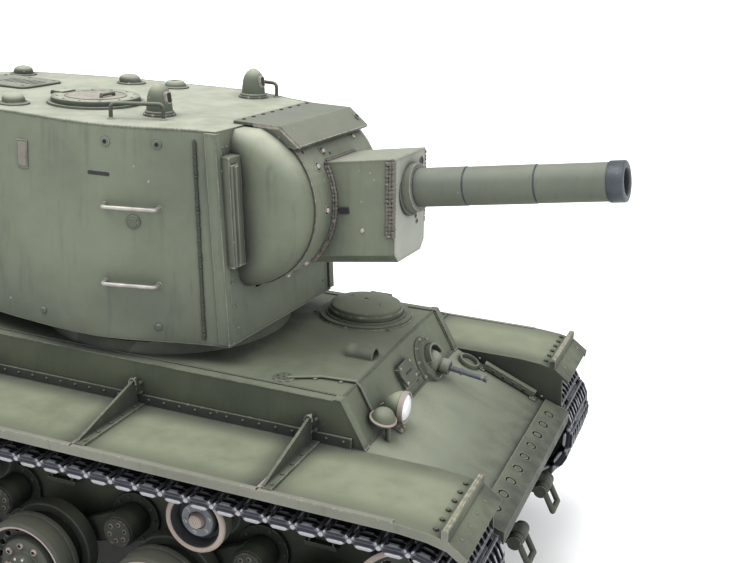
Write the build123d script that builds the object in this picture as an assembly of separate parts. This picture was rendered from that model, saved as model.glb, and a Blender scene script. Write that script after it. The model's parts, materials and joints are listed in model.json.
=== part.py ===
"""Radio-controlled 1:16 heavy tank with a tall slab-sided turret and a short howitzer.

Millimetres. +X is the tank's front, +Y its left, +Z up. The origin is on the ground under
the middle of the overall box. The rest pose has the turret a little to the right and the
gun a little raised.
"""
from build123d import *
from math import acos, atan2, cos, hypot, pi, radians, sin
import os

os.makedirs("parts", exist_ok=True)

# ---- driving dimensions -------------------------------------------------------------
ROOF_EDGE_X = 140.98       # front edge of the hull roof
ROOF_Z = 105.1             # hull roof above the ground
FENDER_Z = 87.6            # top of the fenders
BELLY_Z = 29.0             # underside of the hull
HULL_HALF = 57.0           # half the hull's width
FENDER_HALF = 99.6         # half the overall width
HULL_REAR_X = ROOF_EDGE_X - 355.0
WALL = 2.2                 # moulded hull wall

PITCH = 10.4               # one track link
LINKS = 90                 # links in one track
TRACK_Y = 77.7             # middle of a track
TRACK_HALF = 19.5          # half a link's width
LINK_IN = 2.3              # pitch line to the wheel side of a link
LINK_OUT = 2.3             # pitch line to the ground under the lower run
RIB_TOP = 2.27             # pitch line to the top of a link's ribs
SPROCKET_TEETH = 16
SPROCKET_R = SPROCKET_TEETH * PITCH / (2 * pi)
IDLER_R = 23.5             # pitch radius of the track round the idler
WHEEL_R = 19.4             # road wheel
ROLLER_R = 12.6            # return roller
TOP_RUN_Z = 75.5           # pitch line of the upper run
WHEEL_Z = LINK_OUT + LINK_IN + WHEEL_R
WHEEL_STEP = 58.2
FIRST_WHEEL_X = ROOF_EDGE_X - 1.8
WHEEL_COUNT = 6
PIVOT_DX = 31.0            # arm pivot ahead of its wheel
PIVOT_Z = 36.6
HUB_END = 71.5             # outer end of an arm's hub, from the middle of the hull
FIRST_HUB_END = 64.6       # shorter on the first arm, to clear the idler
SPROCKET_X = ROOF_EDGE_X - 342.0
SPROCKET_Z = TOP_RUN_Z - SPROCKET_R
IDLER_Z = TOP_RUN_Z - IDLER_R
IDLER_NEAR_X = ROOF_EDGE_X + 46.0  # the exact place follows from the track's length
ROLLER_X = [ROOF_EDGE_X - 42.8, ROOF_EDGE_X - 147.0, ROOF_EDGE_X - 251.0]
TREAD_GAP = 0.15           # wheel tread to track
RUN_GAP = 0.05             # radial clearance of a running fit

RING_X = ROOF_EDGE_X - 104.4
RING_R = 52.6
RING_Z = 110.3
RING_HOLE_R = 46.0
TURRET_YAW = -4.24
TURRET_BOTTOM_Z = 113.0
TURRET_TOP_Z = 196.2
ROOF_T = 2.4
TRUNNION = (49.2, 8.1, 164.9)   # turret frame: x from the ring, y, z
GUN_RISE = 9.4
MANTLET_R = 33.0
MANTLET_Y0 = -20.4
MANTLET_Y1 = 34.2

RING_TEETH = 60
PINION_TEETH = 12
GEAR_MODULE = 1.4

SIDES = {"right": -1, "left": 1}


# ---- small builders -----------------------------------------------------------------
def block(x0, x1, y0, y1, z0, z1):
    return Pos((x0 + x1) / 2, (y0 + y1) / 2, (z0 + z1) / 2) * Box(
        abs(x1 - x0), abs(y1 - y0), abs(z1 - z0))


def rod(start, end, radius):
    """A cylinder from one point to another."""
    axis = Vector(*end) - Vector(*start)
    plane = Plane(origin=start, z_dir=axis)
    return plane * Cylinder(radius, axis.length, align=(Align.CENTER, Align.CENTER, Align.MIN))


def rod_y(x, z, y0, y1, radius):
    return rod((x, min(y0, y1), z), (x, max(y0, y1), z), radius)


def rod_z(x, y, z0, z1, radius):
    return rod((x, y, min(z0, z1)), (x, y, max(z0, z1)), radius)


def slab(points, y0, y1):
    """A side profile of (x, z) points, extruded from y0 to y1."""
    low = min(y0, y1)
    face = Face(Wire.make_polygon([(x, low, z) for x, z in points]))
    return extrude(face, amount=abs(y1 - y0), dir=(0, 1, 0))


def deck(points, z0, z1):
    """A plan outline of (x, y) points, extruded from z0 to z1."""
    face = Face(Wire.make_polygon([(x, y, z0) for x, y in points]))
    return extrude(face, amount=z1 - z0, dir=(0, 0, 1))


def turned(profile, x, z, side):
    """A wheel: (y, r) points, y outwards from the middle of the hull, round a Y axis."""
    face = Face(Wire.make_polygon([(r, y, 0) for y, r in profile]))
    wheel = revolve(face, Axis.Y, 360)
    if side < 0:
        wheel = wheel.mirror(Plane.XZ)
    return Pos(x, 0, z) * wheel


def both_sides(shape):
    return [shape, shape.mirror(Plane.XZ)]


def save(name, *shapes):
    """One STEP file for one named sub-part, of one solid or a group of them."""
    solids = [solid for shape in shapes for solid in shape.solids()]
    export_step(solids[0] if len(solids) == 1 else Compound(children=solids),
                f"parts/{name}.step")


# ---- the track's path ---------------------------------------------------------------
def tangent_points(a, b):
    """Outer tangent of two circles (x, z, r), the loop running clockwise seen from -Y."""
    dx = b[0] - a[0]
    dz = b[1] - a[1]
    dist = hypot(dx, dz)
    angle = atan2(dz, dx) + acos((a[2] - b[2]) / dist)
    normal = (cos(angle), sin(angle))
    return [(c[0] + c[2] * normal[0], c[1] + c[2] * normal[1]) for c in (a, b)], angle


def track_path(idler_x):
    """Straights and arcs of the pitch line: [(kind, length, data)], starting on top."""
    wheel_pitch_r = WHEEL_R + LINK_IN
    last_wheel_x = FIRST_WHEEL_X - (WHEEL_COUNT - 1) * WHEEL_STEP
    circles = [
        (SPROCKET_X, SPROCKET_Z, SPROCKET_R),
        (idler_x, IDLER_Z, IDLER_R),
        (FIRST_WHEEL_X, WHEEL_Z, wheel_pitch_r),
        (last_wheel_x, WHEEL_Z, wheel_pitch_r),
    ]
    spans = [tangent_points(circles[i], circles[(i + 1) % 4]) for i in range(4)]
    pieces = []
    for i, (points, angle) in enumerate(spans):
        start, end = points
        pieces.append(("line", hypot(end[0] - start[0], end[1] - start[1]), start, end))
        circle = circles[(i + 1) % 4]
        turn = (angle - spans[(i + 1) % 4][1]) % (2 * pi)
        pieces.append(("arc", circle[2] * turn, circle, angle))
    return pieces


def solve_idler_x():
    """Slide the idler until the track has a whole number of links."""
    low = IDLER_NEAR_X - 12
    high = IDLER_NEAR_X + 12
    for _ in range(40):
        middle = (low + high) / 2
        if sum(piece[1] for piece in track_path(middle)) < LINKS * PITCH:
            low = middle
        else:
            high = middle
    return middle


IDLER_X = solve_idler_x()


def path_pose(distance):
    """Place on the pitch line: x, z and the outward normal's angle."""
    for kind, length, first, second in track_path(IDLER_X):
        if distance > length:
            distance -= length
            continue
        if kind == "line":
            t = distance / length
            x = first[0] + t * (second[0] - first[0])
            z = first[1] + t * (second[1] - first[1])
            return x, z, atan2(second[1] - first[1], second[0] - first[0]) + pi / 2
        angle = second - distance / first[2]
        return first[0] + first[2] * cos(angle), first[1] + first[2] * sin(angle), angle
    raise ValueError("beyond the end of the track")


def first_tooth_angle():
    """Angle of the first joint between links on the sprocket, where a tooth stands."""
    distance = 0.0
    for kind, length, first, _ in track_path(IDLER_X):
        if kind == "arc" and first[0] == SPROCKET_X:
            joint = (int(distance / PITCH) + 1) * PITCH
            return path_pose(joint)[2]
        distance += length
    raise ValueError("no arc on the sprocket")


# ---- tracks -------------------------------------------------------------------------
def link(with_horn):
    """One link, lying flat: X along the track, Z outwards, at the middle of its width."""
    body = block(-4.9, 4.9, -TRACK_HALF, TRACK_HALF, -LINK_IN, 0.9)
    for y in (-17.5, -10.5, -3.5, 3.5, 10.5, 17.5):
        body += slab([(-4.9, 0.9), (-2.0, RIB_TOP), (2.0, RIB_TOP), (4.9, 0.9)], y - 0.7, y + 0.7)
    for y in (-12.5, 12.5):
        for x in (-4.9, 4.9):
            body -= block(x - 1.9, x + 1.9, y - 2.2, y + 2.2, -3, 3)
    if with_horn:
        horn = slab([(-2.6, -LINK_IN), (2.6, -LINK_IN), (1.3, -LINK_IN - 4.6),
                     (-1.3, -LINK_IN - 4.6)], -1.5, 1.5)
        body += horn
    return body


def track(side):
    plain = link(False)
    horned = link(True)
    half_turn = 180 / pi
    solids = []
    for i in range(LINKS):
        x, z, angle = path_pose((i + 0.5) * PITCH)
        shape = horned if i % 2 else plain
        place = Pos(x, side * TRACK_Y, z) * Rot(0, 90 - angle * half_turn, 0)
        solids.append(place * shape)
    return solids


# ---- running gear -------------------------------------------------------------------
def road_wheel(x, side):
    """Twin steel rims on one hub; the gap between them clears the track's horns."""
    tread = WHEEL_R - TREAD_GAP
    profile = [(67.0, 2.5 + RUN_GAP), (67.0, 6.0), (69.5, 7.0), (69.5, 15.6), (68.2, 15.6),
               (68.2, tread), (75.0, tread), (75.0, 15.6), (72.0, 14.6), (72.0, 9.0),
               (84.0, 9.0), (84.0, 14.6), (81.0, 15.6), (81.0, tread), (92.2, tread),
               (92.2, 16.6), (87.4, 16.0), (86.6, 12.4), (90.2, 11.4), (90.2, 6.2),
               (93.6, 5.4), (93.6, 0.01), (91.0, 0.01), (91.0, 2.5 + RUN_GAP)]
    wheel = turned(profile, x, WHEEL_Z, side)
    for i in range(16):
        angle = 2 * pi * (i + 0.5) / 16
        wheel -= rod_y(x + 14.2 * cos(angle), WHEEL_Z + 14.2 * sin(angle),
                       side * 82.5, side * 90, 1.35)
    return wheel


def arm(x, side, hub_end):
    """Trailing arm: pivot journal, capped hub out to hub_end, plate and axle stub."""
    pivot_x = x + PIVOT_DX
    length = hypot(PIVOT_DX, PIVOT_Z - WHEEL_Z)
    ux = -PIVOT_DX / length
    uz = (WHEEL_Z - PIVOT_Z) / length
    hub_r = 7.0
    end_r = 5.0
    plate = slab([(pivot_x - uz * hub_r * 0.8, PIVOT_Z + ux * hub_r * 0.8),
                  (pivot_x + uz * hub_r * 0.8, PIVOT_Z - ux * hub_r * 0.8),
                  (x + uz * end_r * 0.9, WHEEL_Z - ux * end_r * 0.9),
                  (x - uz * end_r * 0.9, WHEEL_Z + ux * end_r * 0.9)],
                 side * 60.4, side * 65.4)
    shape = plate + rod_y(pivot_x, PIVOT_Z, side * 59.0, side * hub_end, hub_r)
    shape += rod_y(pivot_x, PIVOT_Z, side * hub_end, side * (hub_end + 0.8), 6.2)
    shape += rod_y(pivot_x, PIVOT_Z, side * 50.5, side * 59.0, 3.0)
    shape += rod_y(x, WHEEL_Z, side * 60.4, side * 66.6, end_r)
    shape += rod_y(x, WHEEL_Z, side * 66.6, side * 90.8, 2.5)
    for i in range(6):
        angle = 2 * pi * i / 6
        shape -= rod_y(pivot_x + 4.3 * cos(angle), PIVOT_Z + 4.3 * sin(angle),
                       side * (hub_end - 0.2), side * (hub_end + 1.0), 0.75)
    return shape


def return_roller(x, side):
    tread = ROLLER_R - TREAD_GAP
    z = TOP_RUN_Z - LINK_IN - ROLLER_R
    profile = [(67.4, 2.5 + RUN_GAP), (67.4, 5.0), (71.5, 6.5), (71.5, 10.6), (68.6, 10.8),
               (68.6, tread), (75.0, tread), (75.0, 7.4), (81.0, 7.4), (81.0, tread),
               (87.4, tread), (87.4, 10.8), (83.0, 10.2), (83.0, 6.6), (85.6, 6.2),
               (85.6, 3.6), (87.2, 3.2), (87.2, 0.01), (85.4, 0.01), (85.4, 2.5 + RUN_GAP)]
    return turned(profile, x, z, side)


def idler(side):
    tread = IDLER_R - LINK_IN - TREAD_GAP
    profile = [(66.0, 3.0 + RUN_GAP), (66.0, 7.0), (70.5, 8.0), (70.5, 17.0), (67.0, 17.6),
               (67.0, tread), (75.0, tread), (75.0, 17.0), (72.6, 16.6), (72.6, 10.0),
               (83.4, 10.0), (83.4, 16.6), (81.0, 17.0), (81.0, tread), (90.4, tread),
               (90.4, 18.0), (86.6, 17.0), (85.4, 12.6), (88.8, 11.0), (88.8, 6.8),
               (91.4, 6.0), (91.4, 0.01), (89.2, 0.01), (89.2, 3.0 + RUN_GAP)]
    wheel = turned(profile, IDLER_X, IDLER_Z, side)
    for i in range(8):
        angle = 2 * pi * i / 8
        wheel -= rod_y(IDLER_X + 14.4 * cos(angle), IDLER_Z + 14.4 * sin(angle),
                       side * 66, side * 92, 1.7)
    return wheel


def sprocket(side):
    """Two toothed rings on one drum, with the final drive's output shaft."""
    drum = SPROCKET_R - LINK_IN - 0.4
    profile = [(50.0, 0.01), (50.0, 3.0), (67.6, 3.0), (67.6, 9.0), (70.0, 9.0), (70.0, 18.0),
               (63.4, 19.0), (63.4, drum), (75.0, drum), (75.0, 17.0), (81.0, 17.0),
               (81.0, drum), (92.2, drum), (92.2, 19.6), (88.4, 17.6), (88.4, 10.0),
               (92.8, 8.6), (92.8, 0.01)]
    wheel = turned(profile, SPROCKET_X, SPROCKET_Z, side)
    tip = SPROCKET_R + 1.2
    for i in range(SPROCKET_TEETH):
        angle = first_tooth_angle() + 2 * pi * i / SPROCKET_TEETH
        points = []
        for radius, half in ((drum - 1.5, 1.35), (tip, 0.7), (tip, -0.7), (drum - 1.5, -1.35)):
            points.append((SPROCKET_X + radius * cos(angle) - half * sin(angle),
                           SPROCKET_Z + radius * sin(angle) + half * cos(angle)))
        for y in (TRACK_Y - 12.5, TRACK_Y + 12.5):
            wheel += slab(points, side * (y - 1.7), side * (y + 1.7))
    for i in range(8):
        angle = 2 * pi * i / 8
        wheel -= rod_y(SPROCKET_X + 14.0 * cos(angle), SPROCKET_Z + 14.0 * sin(angle),
                       side * 62, side * 93, 1.8)
    return wheel


def arm_pivots():
    return [FIRST_WHEEL_X - i * WHEEL_STEP + PIVOT_DX for i in range(WHEEL_COUNT)]


def suspension_housings():
    """Fixed running-gear pieces on the hull wall: flanged bushes, stops, axles, drives."""
    pieces = []
    wall = HULL_HALF + 0.05
    for x in arm_pivots():
        flange = rod_y(x, PIVOT_Z, wall, wall + 1.7, 10.8)
        flange += rod_y(x, PIVOT_Z, 51.0, wall + 0.1, 4.9)
        flange -= rod_y(x, PIVOT_Z, 50.0, 60.0, 3.0 + RUN_GAP)
        for k in range(10):
            angle = 2 * pi * k / 10
            flange += rod_y(x + 9.3 * cos(angle), PIVOT_Z + 9.3 * sin(angle),
                            wall + 1.6, wall + 2.1, 0.7)
        pieces.append(flange)
    for i in range(WHEEL_COUNT):
        x = FIRST_WHEEL_X - i * WHEEL_STEP
        stop = slab([(x - 7.0, 48.0), (x + 6.0, 48.0), (x + 3.4, 62.0), (x - 3.4, 62.0)],
                    wall, wall + 2.0)
        stop += slab([(x - 7.0, 48.0), (x + 6.0, 48.0), (x + 6.0, 49.6), (x - 7.0, 49.6)],
                     wall, wall + 7.5)
        stop += slab([(x - 3.4, 49.6), (x + 2.4, 49.6), (x + 1.2, 61.0), (x - 2.2, 61.0)],
                     wall + 2.0, wall + 5.0)
        pieces.append(stop)
    roller_z = TOP_RUN_Z - LINK_IN - ROLLER_R
    for x in ROLLER_X:
        axle = rod_y(x, roller_z, wall, 60.0, 6.5) + rod_y(x, roller_z, 60.0, 66.8, 4.4)
        pieces.append(axle + rod_y(x, roller_z, 66.8, 85.2, 2.5))
    crank = rod_y(IDLER_X - 5.0, IDLER_Z, wall, 62.0, 8.5)
    crank += rod_y(IDLER_X, IDLER_Z, 60.0, 65.4, 6.0)
    pieces.append(crank + rod_y(IDLER_X, IDLER_Z, 65.4, 89.0, 3.0))
    drive = rod_y(SPROCKET_X, SPROCKET_Z, wall, 62.0, 15.5)
    drive += rod_y(SPROCKET_X, SPROCKET_Z, 62.0, 67.0, 12.0)
    drive += rod_y(SPROCKET_X, SPROCKET_Z, 51.0, wall + 0.1, 6.9)
    drive -= rod_y(SPROCKET_X, SPROCKET_Z, 50.0, 70.0, 3.0 + RUN_GAP)
    pieces.append(drive)
    return [copy for piece in pieces for copy in both_sides(piece)]


# ---- hull ---------------------------------------------------------------------------
SCREW_PLACES = [(x, y) for x in (ROOF_EDGE_X - 58.0, ROOF_EDGE_X - 176.0, ROOF_EDGE_X - 282.0)
                for y in (-46.0, 46.0)]
FOOT_X = ROOF_EDGE_X + 10.3      # foot of the driver's plate
GLACIS_IN = (ROOF_EDGE_X + 53.4, 69.0)
NOSE_TOP = (ROOF_EDGE_X + 63.0, 65.6)
MG_POINT = (ROOF_EDGE_X + 7.8, 24.4, 91.8)       # on the driver's plate, middle of the ball
PLATE_N = Vector(17.5, 0, 10.3).normalized()
BALL_R = 5.4
BALL_OUT = 1.2             # middle of the ball in front of the plate's face
HATCH_X = ROOF_EDGE_X - 25.8
HATCH_Y = 34.5
HATCH_HINGE = 18.7         # hull hatch centre to its hinge
DECK_X = ROOF_EDGE_X - 188.0     # front edge of the lift-off deck
SCOOP_Y = -11.2            # half-round scoop on the front roof
SKIRT_T = 0.8              # fender skirt between the glacis and the track


def on_plate(point, out):
    """A point moved out from the driver's plate, square to it."""
    return (point[0] + PLATE_N.X * out, point[1], point[2] + PLATE_N.Z * out)


def hull_lower():
    """The tub: glacis, nose, belly, side walls and rear plate, open at fender height."""
    outer = slab([(FOOT_X, FENDER_Z), GLACIS_IN, NOSE_TOP, (ROOF_EDGE_X + 63.4, 62.4),
                  (ROOF_EDGE_X + 57.0, 51.0), (ROOF_EDGE_X + 44.0, 36.5),
                  (ROOF_EDGE_X + 31.0, BELLY_Z), (HULL_REAR_X + 26.0, BELLY_Z),
                  (HULL_REAR_X + 4.0, 47.0), (HULL_REAR_X, 60.0), (HULL_REAR_X, FENDER_Z)],
                 -HULL_HALF, HULL_HALF)
    t = WALL
    inner = slab([(FOOT_X - 3.0, FENDER_Z + 1), (FOOT_X - 3.0, FENDER_Z - 1.6),
                  (ROOF_EDGE_X + 52.4, 66.9), (ROOF_EDGE_X + 60.6, 64.0),
                  (ROOF_EDGE_X + 60.9, 62.8), (ROOF_EDGE_X + 55.0, 52.2),
                  (ROOF_EDGE_X + 42.6, 38.3), (ROOF_EDGE_X + 30.5, BELLY_Z + t),
                  (HULL_REAR_X + 26.8, BELLY_Z + t), (HULL_REAR_X + 6.2, 48.0),
                  (HULL_REAR_X + t, 60.5), (HULL_REAR_X + t, FENDER_Z + 1)],
                 -HULL_HALF + t, HULL_HALF - t)
    tub = outer - inner
    for x, y in SCREW_PLACES:
        tub += rod_z(x, y, BELLY_Z + 1.0, FENDER_Z - 0.6, 4.2)
    for x, y in SCREW_PLACES:
        tub -= rod_z(x, y, BELLY_Z - 1.0, 80.0, 2.9)
        tub -= rod_z(x, y, 79.0, FENDER_Z + 1.0, 1.6)
    for x in arm_pivots():
        tub -= rod_y(x, PIVOT_Z, -HULL_HALF - 1, HULL_HALF + 1, 5.0)
    tub -= rod_y(SPROCKET_X, SPROCKET_Z, -HULL_HALF - 1, HULL_HALF + 1, 7.0)
    for y in (-24.0, 24.0):
        tub += block(-60.0, 30.0, y - 1.0, y + 1.0, BELLY_Z + 1.0, BELLY_Z + 12.0)
    tub -= Pos(*on_plate(MG_POINT, BALL_OUT)) * Sphere(BALL_R + 0.3)
    return tub


def hull_upper():
    """The casing above the fenders: driver's plate, side walls, front roof, ring plate."""
    outer = slab([(ROOF_EDGE_X, ROOF_Z), (FOOT_X, FENDER_Z + 0.05), (HULL_REAR_X, FENDER_Z + 0.05),
                  (HULL_REAR_X, 95.0), (HULL_REAR_X + 16.0, 99.2), (HULL_REAR_X + 68.0, ROOF_Z)],
                 -HULL_HALF, HULL_HALF)
    t = WALL
    inner = slab([(ROOF_EDGE_X - 1.4, ROOF_Z - t), (FOOT_X - 3.2, FENDER_Z - 1.0),
                  (HULL_REAR_X + t, FENDER_Z - 1.0), (HULL_REAR_X + t, ROOF_Z - t)],
                 -HULL_HALF + t, HULL_HALF - t)
    casing = outer - inner
    casing -= block(HULL_REAR_X - 1, DECK_X, -HULL_HALF + t, HULL_HALF - t, FENDER_Z, ROOF_Z + 5)
    casing -= block(HULL_REAR_X - 1, HULL_REAR_X + 5, -60, 60, FENDER_Z - 1, ROOF_Z + 5)
    casing += block(HULL_REAR_X + 7, DECK_X, 51.5, HULL_HALF - 1, 91.0, 93.0)
    casing += block(HULL_REAR_X + 7, DECK_X, -HULL_HALF + 1, -51.5, 91.0, 93.0)
    casing += rod_z(RING_X, 0, ROOF_Z - 1, RING_Z, RING_R)
    casing -= rod_z(RING_X, 0, ROOF_Z - 10, RING_Z + 1, RING_HOLE_R)
    casing += rod_z(HATCH_X, HATCH_Y, ROOF_Z - 1, ROOF_Z + 1.3, 20.6)
    casing += rod_z(HATCH_X, HATCH_Y, ROOF_Z - 1, ROOF_Z + 2.0, 18.0)
    casing -= rod_z(HATCH_X, HATCH_Y, ROOF_Z - 5, ROOF_Z + 5, 15.4)
    for y in (-HULL_HALF, HULL_HALF - 4.4):
        casing += slab([(ROOF_EDGE_X + 0.9, ROOF_Z + 0.5), (FOOT_X + 1.0, FENDER_Z + 0.1),
                        (FOOT_X - 2.0, FENDER_Z + 0.1), (ROOF_EDGE_X - 2.2, ROOF_Z + 0.5)],
                       y, y + 4.4)
    flange = rod(on_plate(MG_POINT, -1.0), on_plate(MG_POINT, 2.6), 9.2)
    casing += flange
    casing -= rod(on_plate(MG_POINT, -8.0), on_plate(MG_POINT, 4.0), 4.6)
    casing -= Pos(*on_plate(MG_POINT, BALL_OUT)) * Sphere(BALL_R + 0.15)
    casing += slab([(ROOF_EDGE_X + 2.6, 98.9), (ROOF_EDGE_X + 5.2, 99.9),
                    (ROOF_EDGE_X + 9.8, 92.0), (ROOF_EDGE_X + 7.3, 91.0)], -7.5, 5.5)
    for x, y in SCREW_PLACES:
        if x > DECK_X:
            casing += rod_z(x, y, FENDER_Z + 0.2, ROOF_Z - 1.0, 4.0)
            casing -= rod_z(x, y, FENDER_Z - 1.0, 98.0, 1.4)
    scoop = rod((ROOF_EDGE_X - 15.0, SCOOP_Y, ROOF_Z), (ROOF_EDGE_X - 3.4, SCOOP_Y, ROOF_Z), 4.2)
    mouth = rod((ROOF_EDGE_X - 11.0, SCOOP_Y, ROOF_Z), (ROOF_EDGE_X - 3.0, SCOOP_Y, ROOF_Z), 3.3)
    above = block(ROOF_EDGE_X - 16, ROOF_EDGE_X, SCOOP_Y - 6, SCOOP_Y + 6, ROOF_Z - 0.5, ROOF_Z + 6)
    scoop &= above
    mouth &= Pos(0, 0, 0.5) * above
    casing += scoop
    casing -= mouth
    casing -= slab([(FOOT_X - 14.0, FENDER_Z + 0.05), (FOOT_X, FENDER_Z + 0.05),
                    (GLACIS_IN[0], GLACIS_IN[1] + 0.05), (GLACIS_IN[0], 50.0),
                    (FOOT_X - 14.0, 50.0)], -60.0, 60.0)
    return casing


def nose_strip():
    """Bolted angle over the joint of glacis and nose plate, with recessed bolts."""
    dx = NOSE_TOP[0] - GLACIS_IN[0]
    dz = NOSE_TOP[1] - GLACIS_IN[1]
    length = hypot(dx, dz)
    ux, uz = dx / length, dz / length
    nx, nz = -uz, ux
    lift = 0.05
    x0 = GLACIS_IN[0] + nx * lift
    z0 = GLACIS_IN[1] + nz * lift
    strip = slab([(x0, z0), (x0 + ux * length, z0 + uz * length),
                  (x0 + ux * (length + 1.2) + nx * 0.6, z0 + uz * (length + 1.2) - 3.0),
                  (x0 + ux * (length + 1.9) + nx * 0.8, z0 + uz * (length + 1.9) - 2.8),
                  (x0 + ux * (length + 1.4) + nx * 2.0, z0 + uz * (length + 1.4) + nz * 2.0),
                  (x0 + nx * 2.0, z0 + nz * 2.0)], -HULL_HALF + 1.0, HULL_HALF - 1.0)
    solids = []
    for i in range(9):
        y = -44.0 + i * 11.0
        mid = (x0 + ux * 4.6, y, z0 + uz * 4.6)
        low = (mid[0] + nx * 0.9, y, mid[2] + nz * 0.9)
        high = (mid[0] + nx * 3.0, y, mid[2] + nz * 3.0)
        head = (mid[0] + nx * 1.9, y, mid[2] + nz * 1.9)
        strip -= rod(low, high, 2.3)
        solids.append(rod((low[0] + nx * 0.02, y, low[2] + nz * 0.02), head, 1.5))
    return [strip] + solids


def fender(side):
    """One fender: sheet with a lip, a front flap, a wall flange and a skirt to the glacis."""
    top = [(HULL_REAR_X - 12.0, FENDER_Z - 10.0), (HULL_REAR_X - 6.0, FENDER_Z - 3.0),
           (HULL_REAR_X + 6.0, FENDER_Z), (ROOF_EDGE_X + 40.0, FENDER_Z),
           (ROOF_EDGE_X + 50.0, FENDER_Z - 0.8), (ROOF_EDGE_X + 57.0, FENDER_Z - 2.4),
           (ROOF_EDGE_X + 63.5, FENDER_Z - 7.0)]
    t = 1.4
    sheet = top + [(x - 0.5, z - t) for x, z in reversed(top)]
    y0 = HULL_HALF + 0.1
    plate = slab(sheet, side * y0, side * FENDER_HALF)
    lip = top + [(x - 0.5, z - 3.4) for x, z in reversed(top)]
    plate += slab(lip, side * (FENDER_HALF - 1.1), side * FENDER_HALF)
    plate += block(HULL_REAR_X + 8.0, ROOF_EDGE_X + 6.0, side * y0, side * (y0 + 1.0),
                   FENDER_Z - 0.5, FENDER_Z + 4.2)
    x = ROOF_EDGE_X + 54.2
    plate += block(x, x + 2.4, side * y0, side * FENDER_HALF, FENDER_Z - 3.0, FENDER_Z + 1.4)
    skirt = [(FOOT_X - 4.0, FENDER_Z - 0.7), (ROOF_EDGE_X + 40.0, FENDER_Z - 0.7),
             (ROOF_EDGE_X + 50.0, FENDER_Z - 1.5), (ROOF_EDGE_X + 57.0, FENDER_Z - 3.1),
             (ROOF_EDGE_X + 60.4, FENDER_Z - 5.6), (ROOF_EDGE_X + 61.4, 66.4),
             (GLACIS_IN[0], GLACIS_IN[1] - 3.0), (FOOT_X - 4.0, FENDER_Z - 2.4)]
    plate += slab(skirt, side * y0, side * (y0 + SKIRT_T))
    return plate


def fender_brackets():
    """Triangular stays between the hull wall and the fender, each with a flat foot."""
    solids = []
    y0 = HULL_HALF + 1.35
    z0 = FENDER_Z + 0.05
    for k in range(5):
        x = ROOF_EDGE_X - 9.6 - k * 75.3
        for side in SIDES.values():
            web = extrude(Face(Wire.make_polygon([
                (x, side * y0, z0), (x, side * 98.0, z0), (x, side * 98.0, z0 + 0.9),
                (x, side * y0, z0 + 11.2)])), amount=1.0, dir=(-1, 0, 0))
            foot = block(x - 0.5, x + 3.2, side * y0, side * 98.0, z0, z0 + 0.8)
            solids.append(web + foot)
    return solids


def tow_shackle(x, y, z, sign):
    """An eye bracket with its pin and a U-shaped shackle leaning out (sign: +X or -X)."""
    ears = block(x - sign * 6.0, x, y - 3.0, y + 3.0, z - 3.2, z + 3.2)
    ears += rod_y(x, z, y - 3.0, y + 3.0, 3.2)
    ears -= rod_y(x, z, y - 4, y + 4, 1.6)
    pin = rod_y(x, z, y - 6.4, y + 6.4, 1.55)
    pin += rod_y(x, z, y - 7.4, y - 6.4, 2.8)
    low_x = x + sign * 5.6
    low_z = z - 9.0
    loop = rod_y(low_x, low_z, y - 4.7, y + 4.7, 1.25)
    for arm_y in (y - 4.7, y + 4.7):
        loop += Pos(low_x, arm_y, low_z) * Sphere(1.25)
        loop += rod((x + sign * 1.9, arm_y, z - 2.0), (low_x, arm_y, low_z), 1.25)
        loop += rod_y(x, z, arm_y - 1.35, arm_y + 1.35, 3.0)
    loop -= rod_y(x, z, y - 7, y + 7, 1.6)
    return [ears, pin, loop]


def engine_deck():
    """Lift-off rear deck: plate, round covers, intake slots, rear curve and exhaust hoods."""
    t = 2.0
    half = HULL_HALF - WALL - 0.1
    rear = HULL_REAR_X
    top = [(DECK_X - 0.1, ROOF_Z), (rear + 68.0, ROOF_Z), (rear + 16.0, 99.2), (rear + 6.0, 97.6),
           (rear - 3.0, 93.4), (rear - 8.0, 86.0), (rear - 9.0, 78.0)]
    under = [(rear - 7.0, 78.0), (rear - 6.1, 85.4), (rear - 1.7, 91.8), (rear + 6.4, 95.6),
             (rear + 16.2, 97.2), (rear + 68.2, ROOF_Z - t), (DECK_X - 0.1, ROOF_Z - t)]
    plate = slab(top + under, -half, half)
    for i in range(9):
        x = DECK_X - 20.0 - i * 4.6
        for side in SIDES.values():
            plate -= block(x, x - 2.4, side * 34.0, side * 50.0, 90, 110)
    plate += rod_z(DECK_X - 45.0, 0, ROOF_Z - 1, ROOF_Z + 1.2, 17.5)
    hoods = []
    for side in SIDES.values():
        plate += Pos(rear + 36.0, side * 24.0, 101.4) * Rot(0, -6.5, 0) * Cylinder(13.0, 2.4)
        hood = slab([(DECK_X - 62.0, ROOF_Z + 0.05), (DECK_X - 86.0, ROOF_Z + 0.05),
                     (DECK_X - 90.0, ROOF_Z + 1.8), (DECK_X - 90.0, ROOF_Z + 6.0),
                     (DECK_X - 78.0, ROOF_Z + 6.6), (DECK_X - 66.0, ROOF_Z + 4.6)],
                    side * 15.0, side * 25.0)
        hood -= block(DECK_X - 95.0, DECK_X - 84.0, side * 16.6, side * 23.4,
                      ROOF_Z + 1.9, ROOF_Z + 5.0)
        hoods.append(hood)
    return [plate] + hoods


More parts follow.
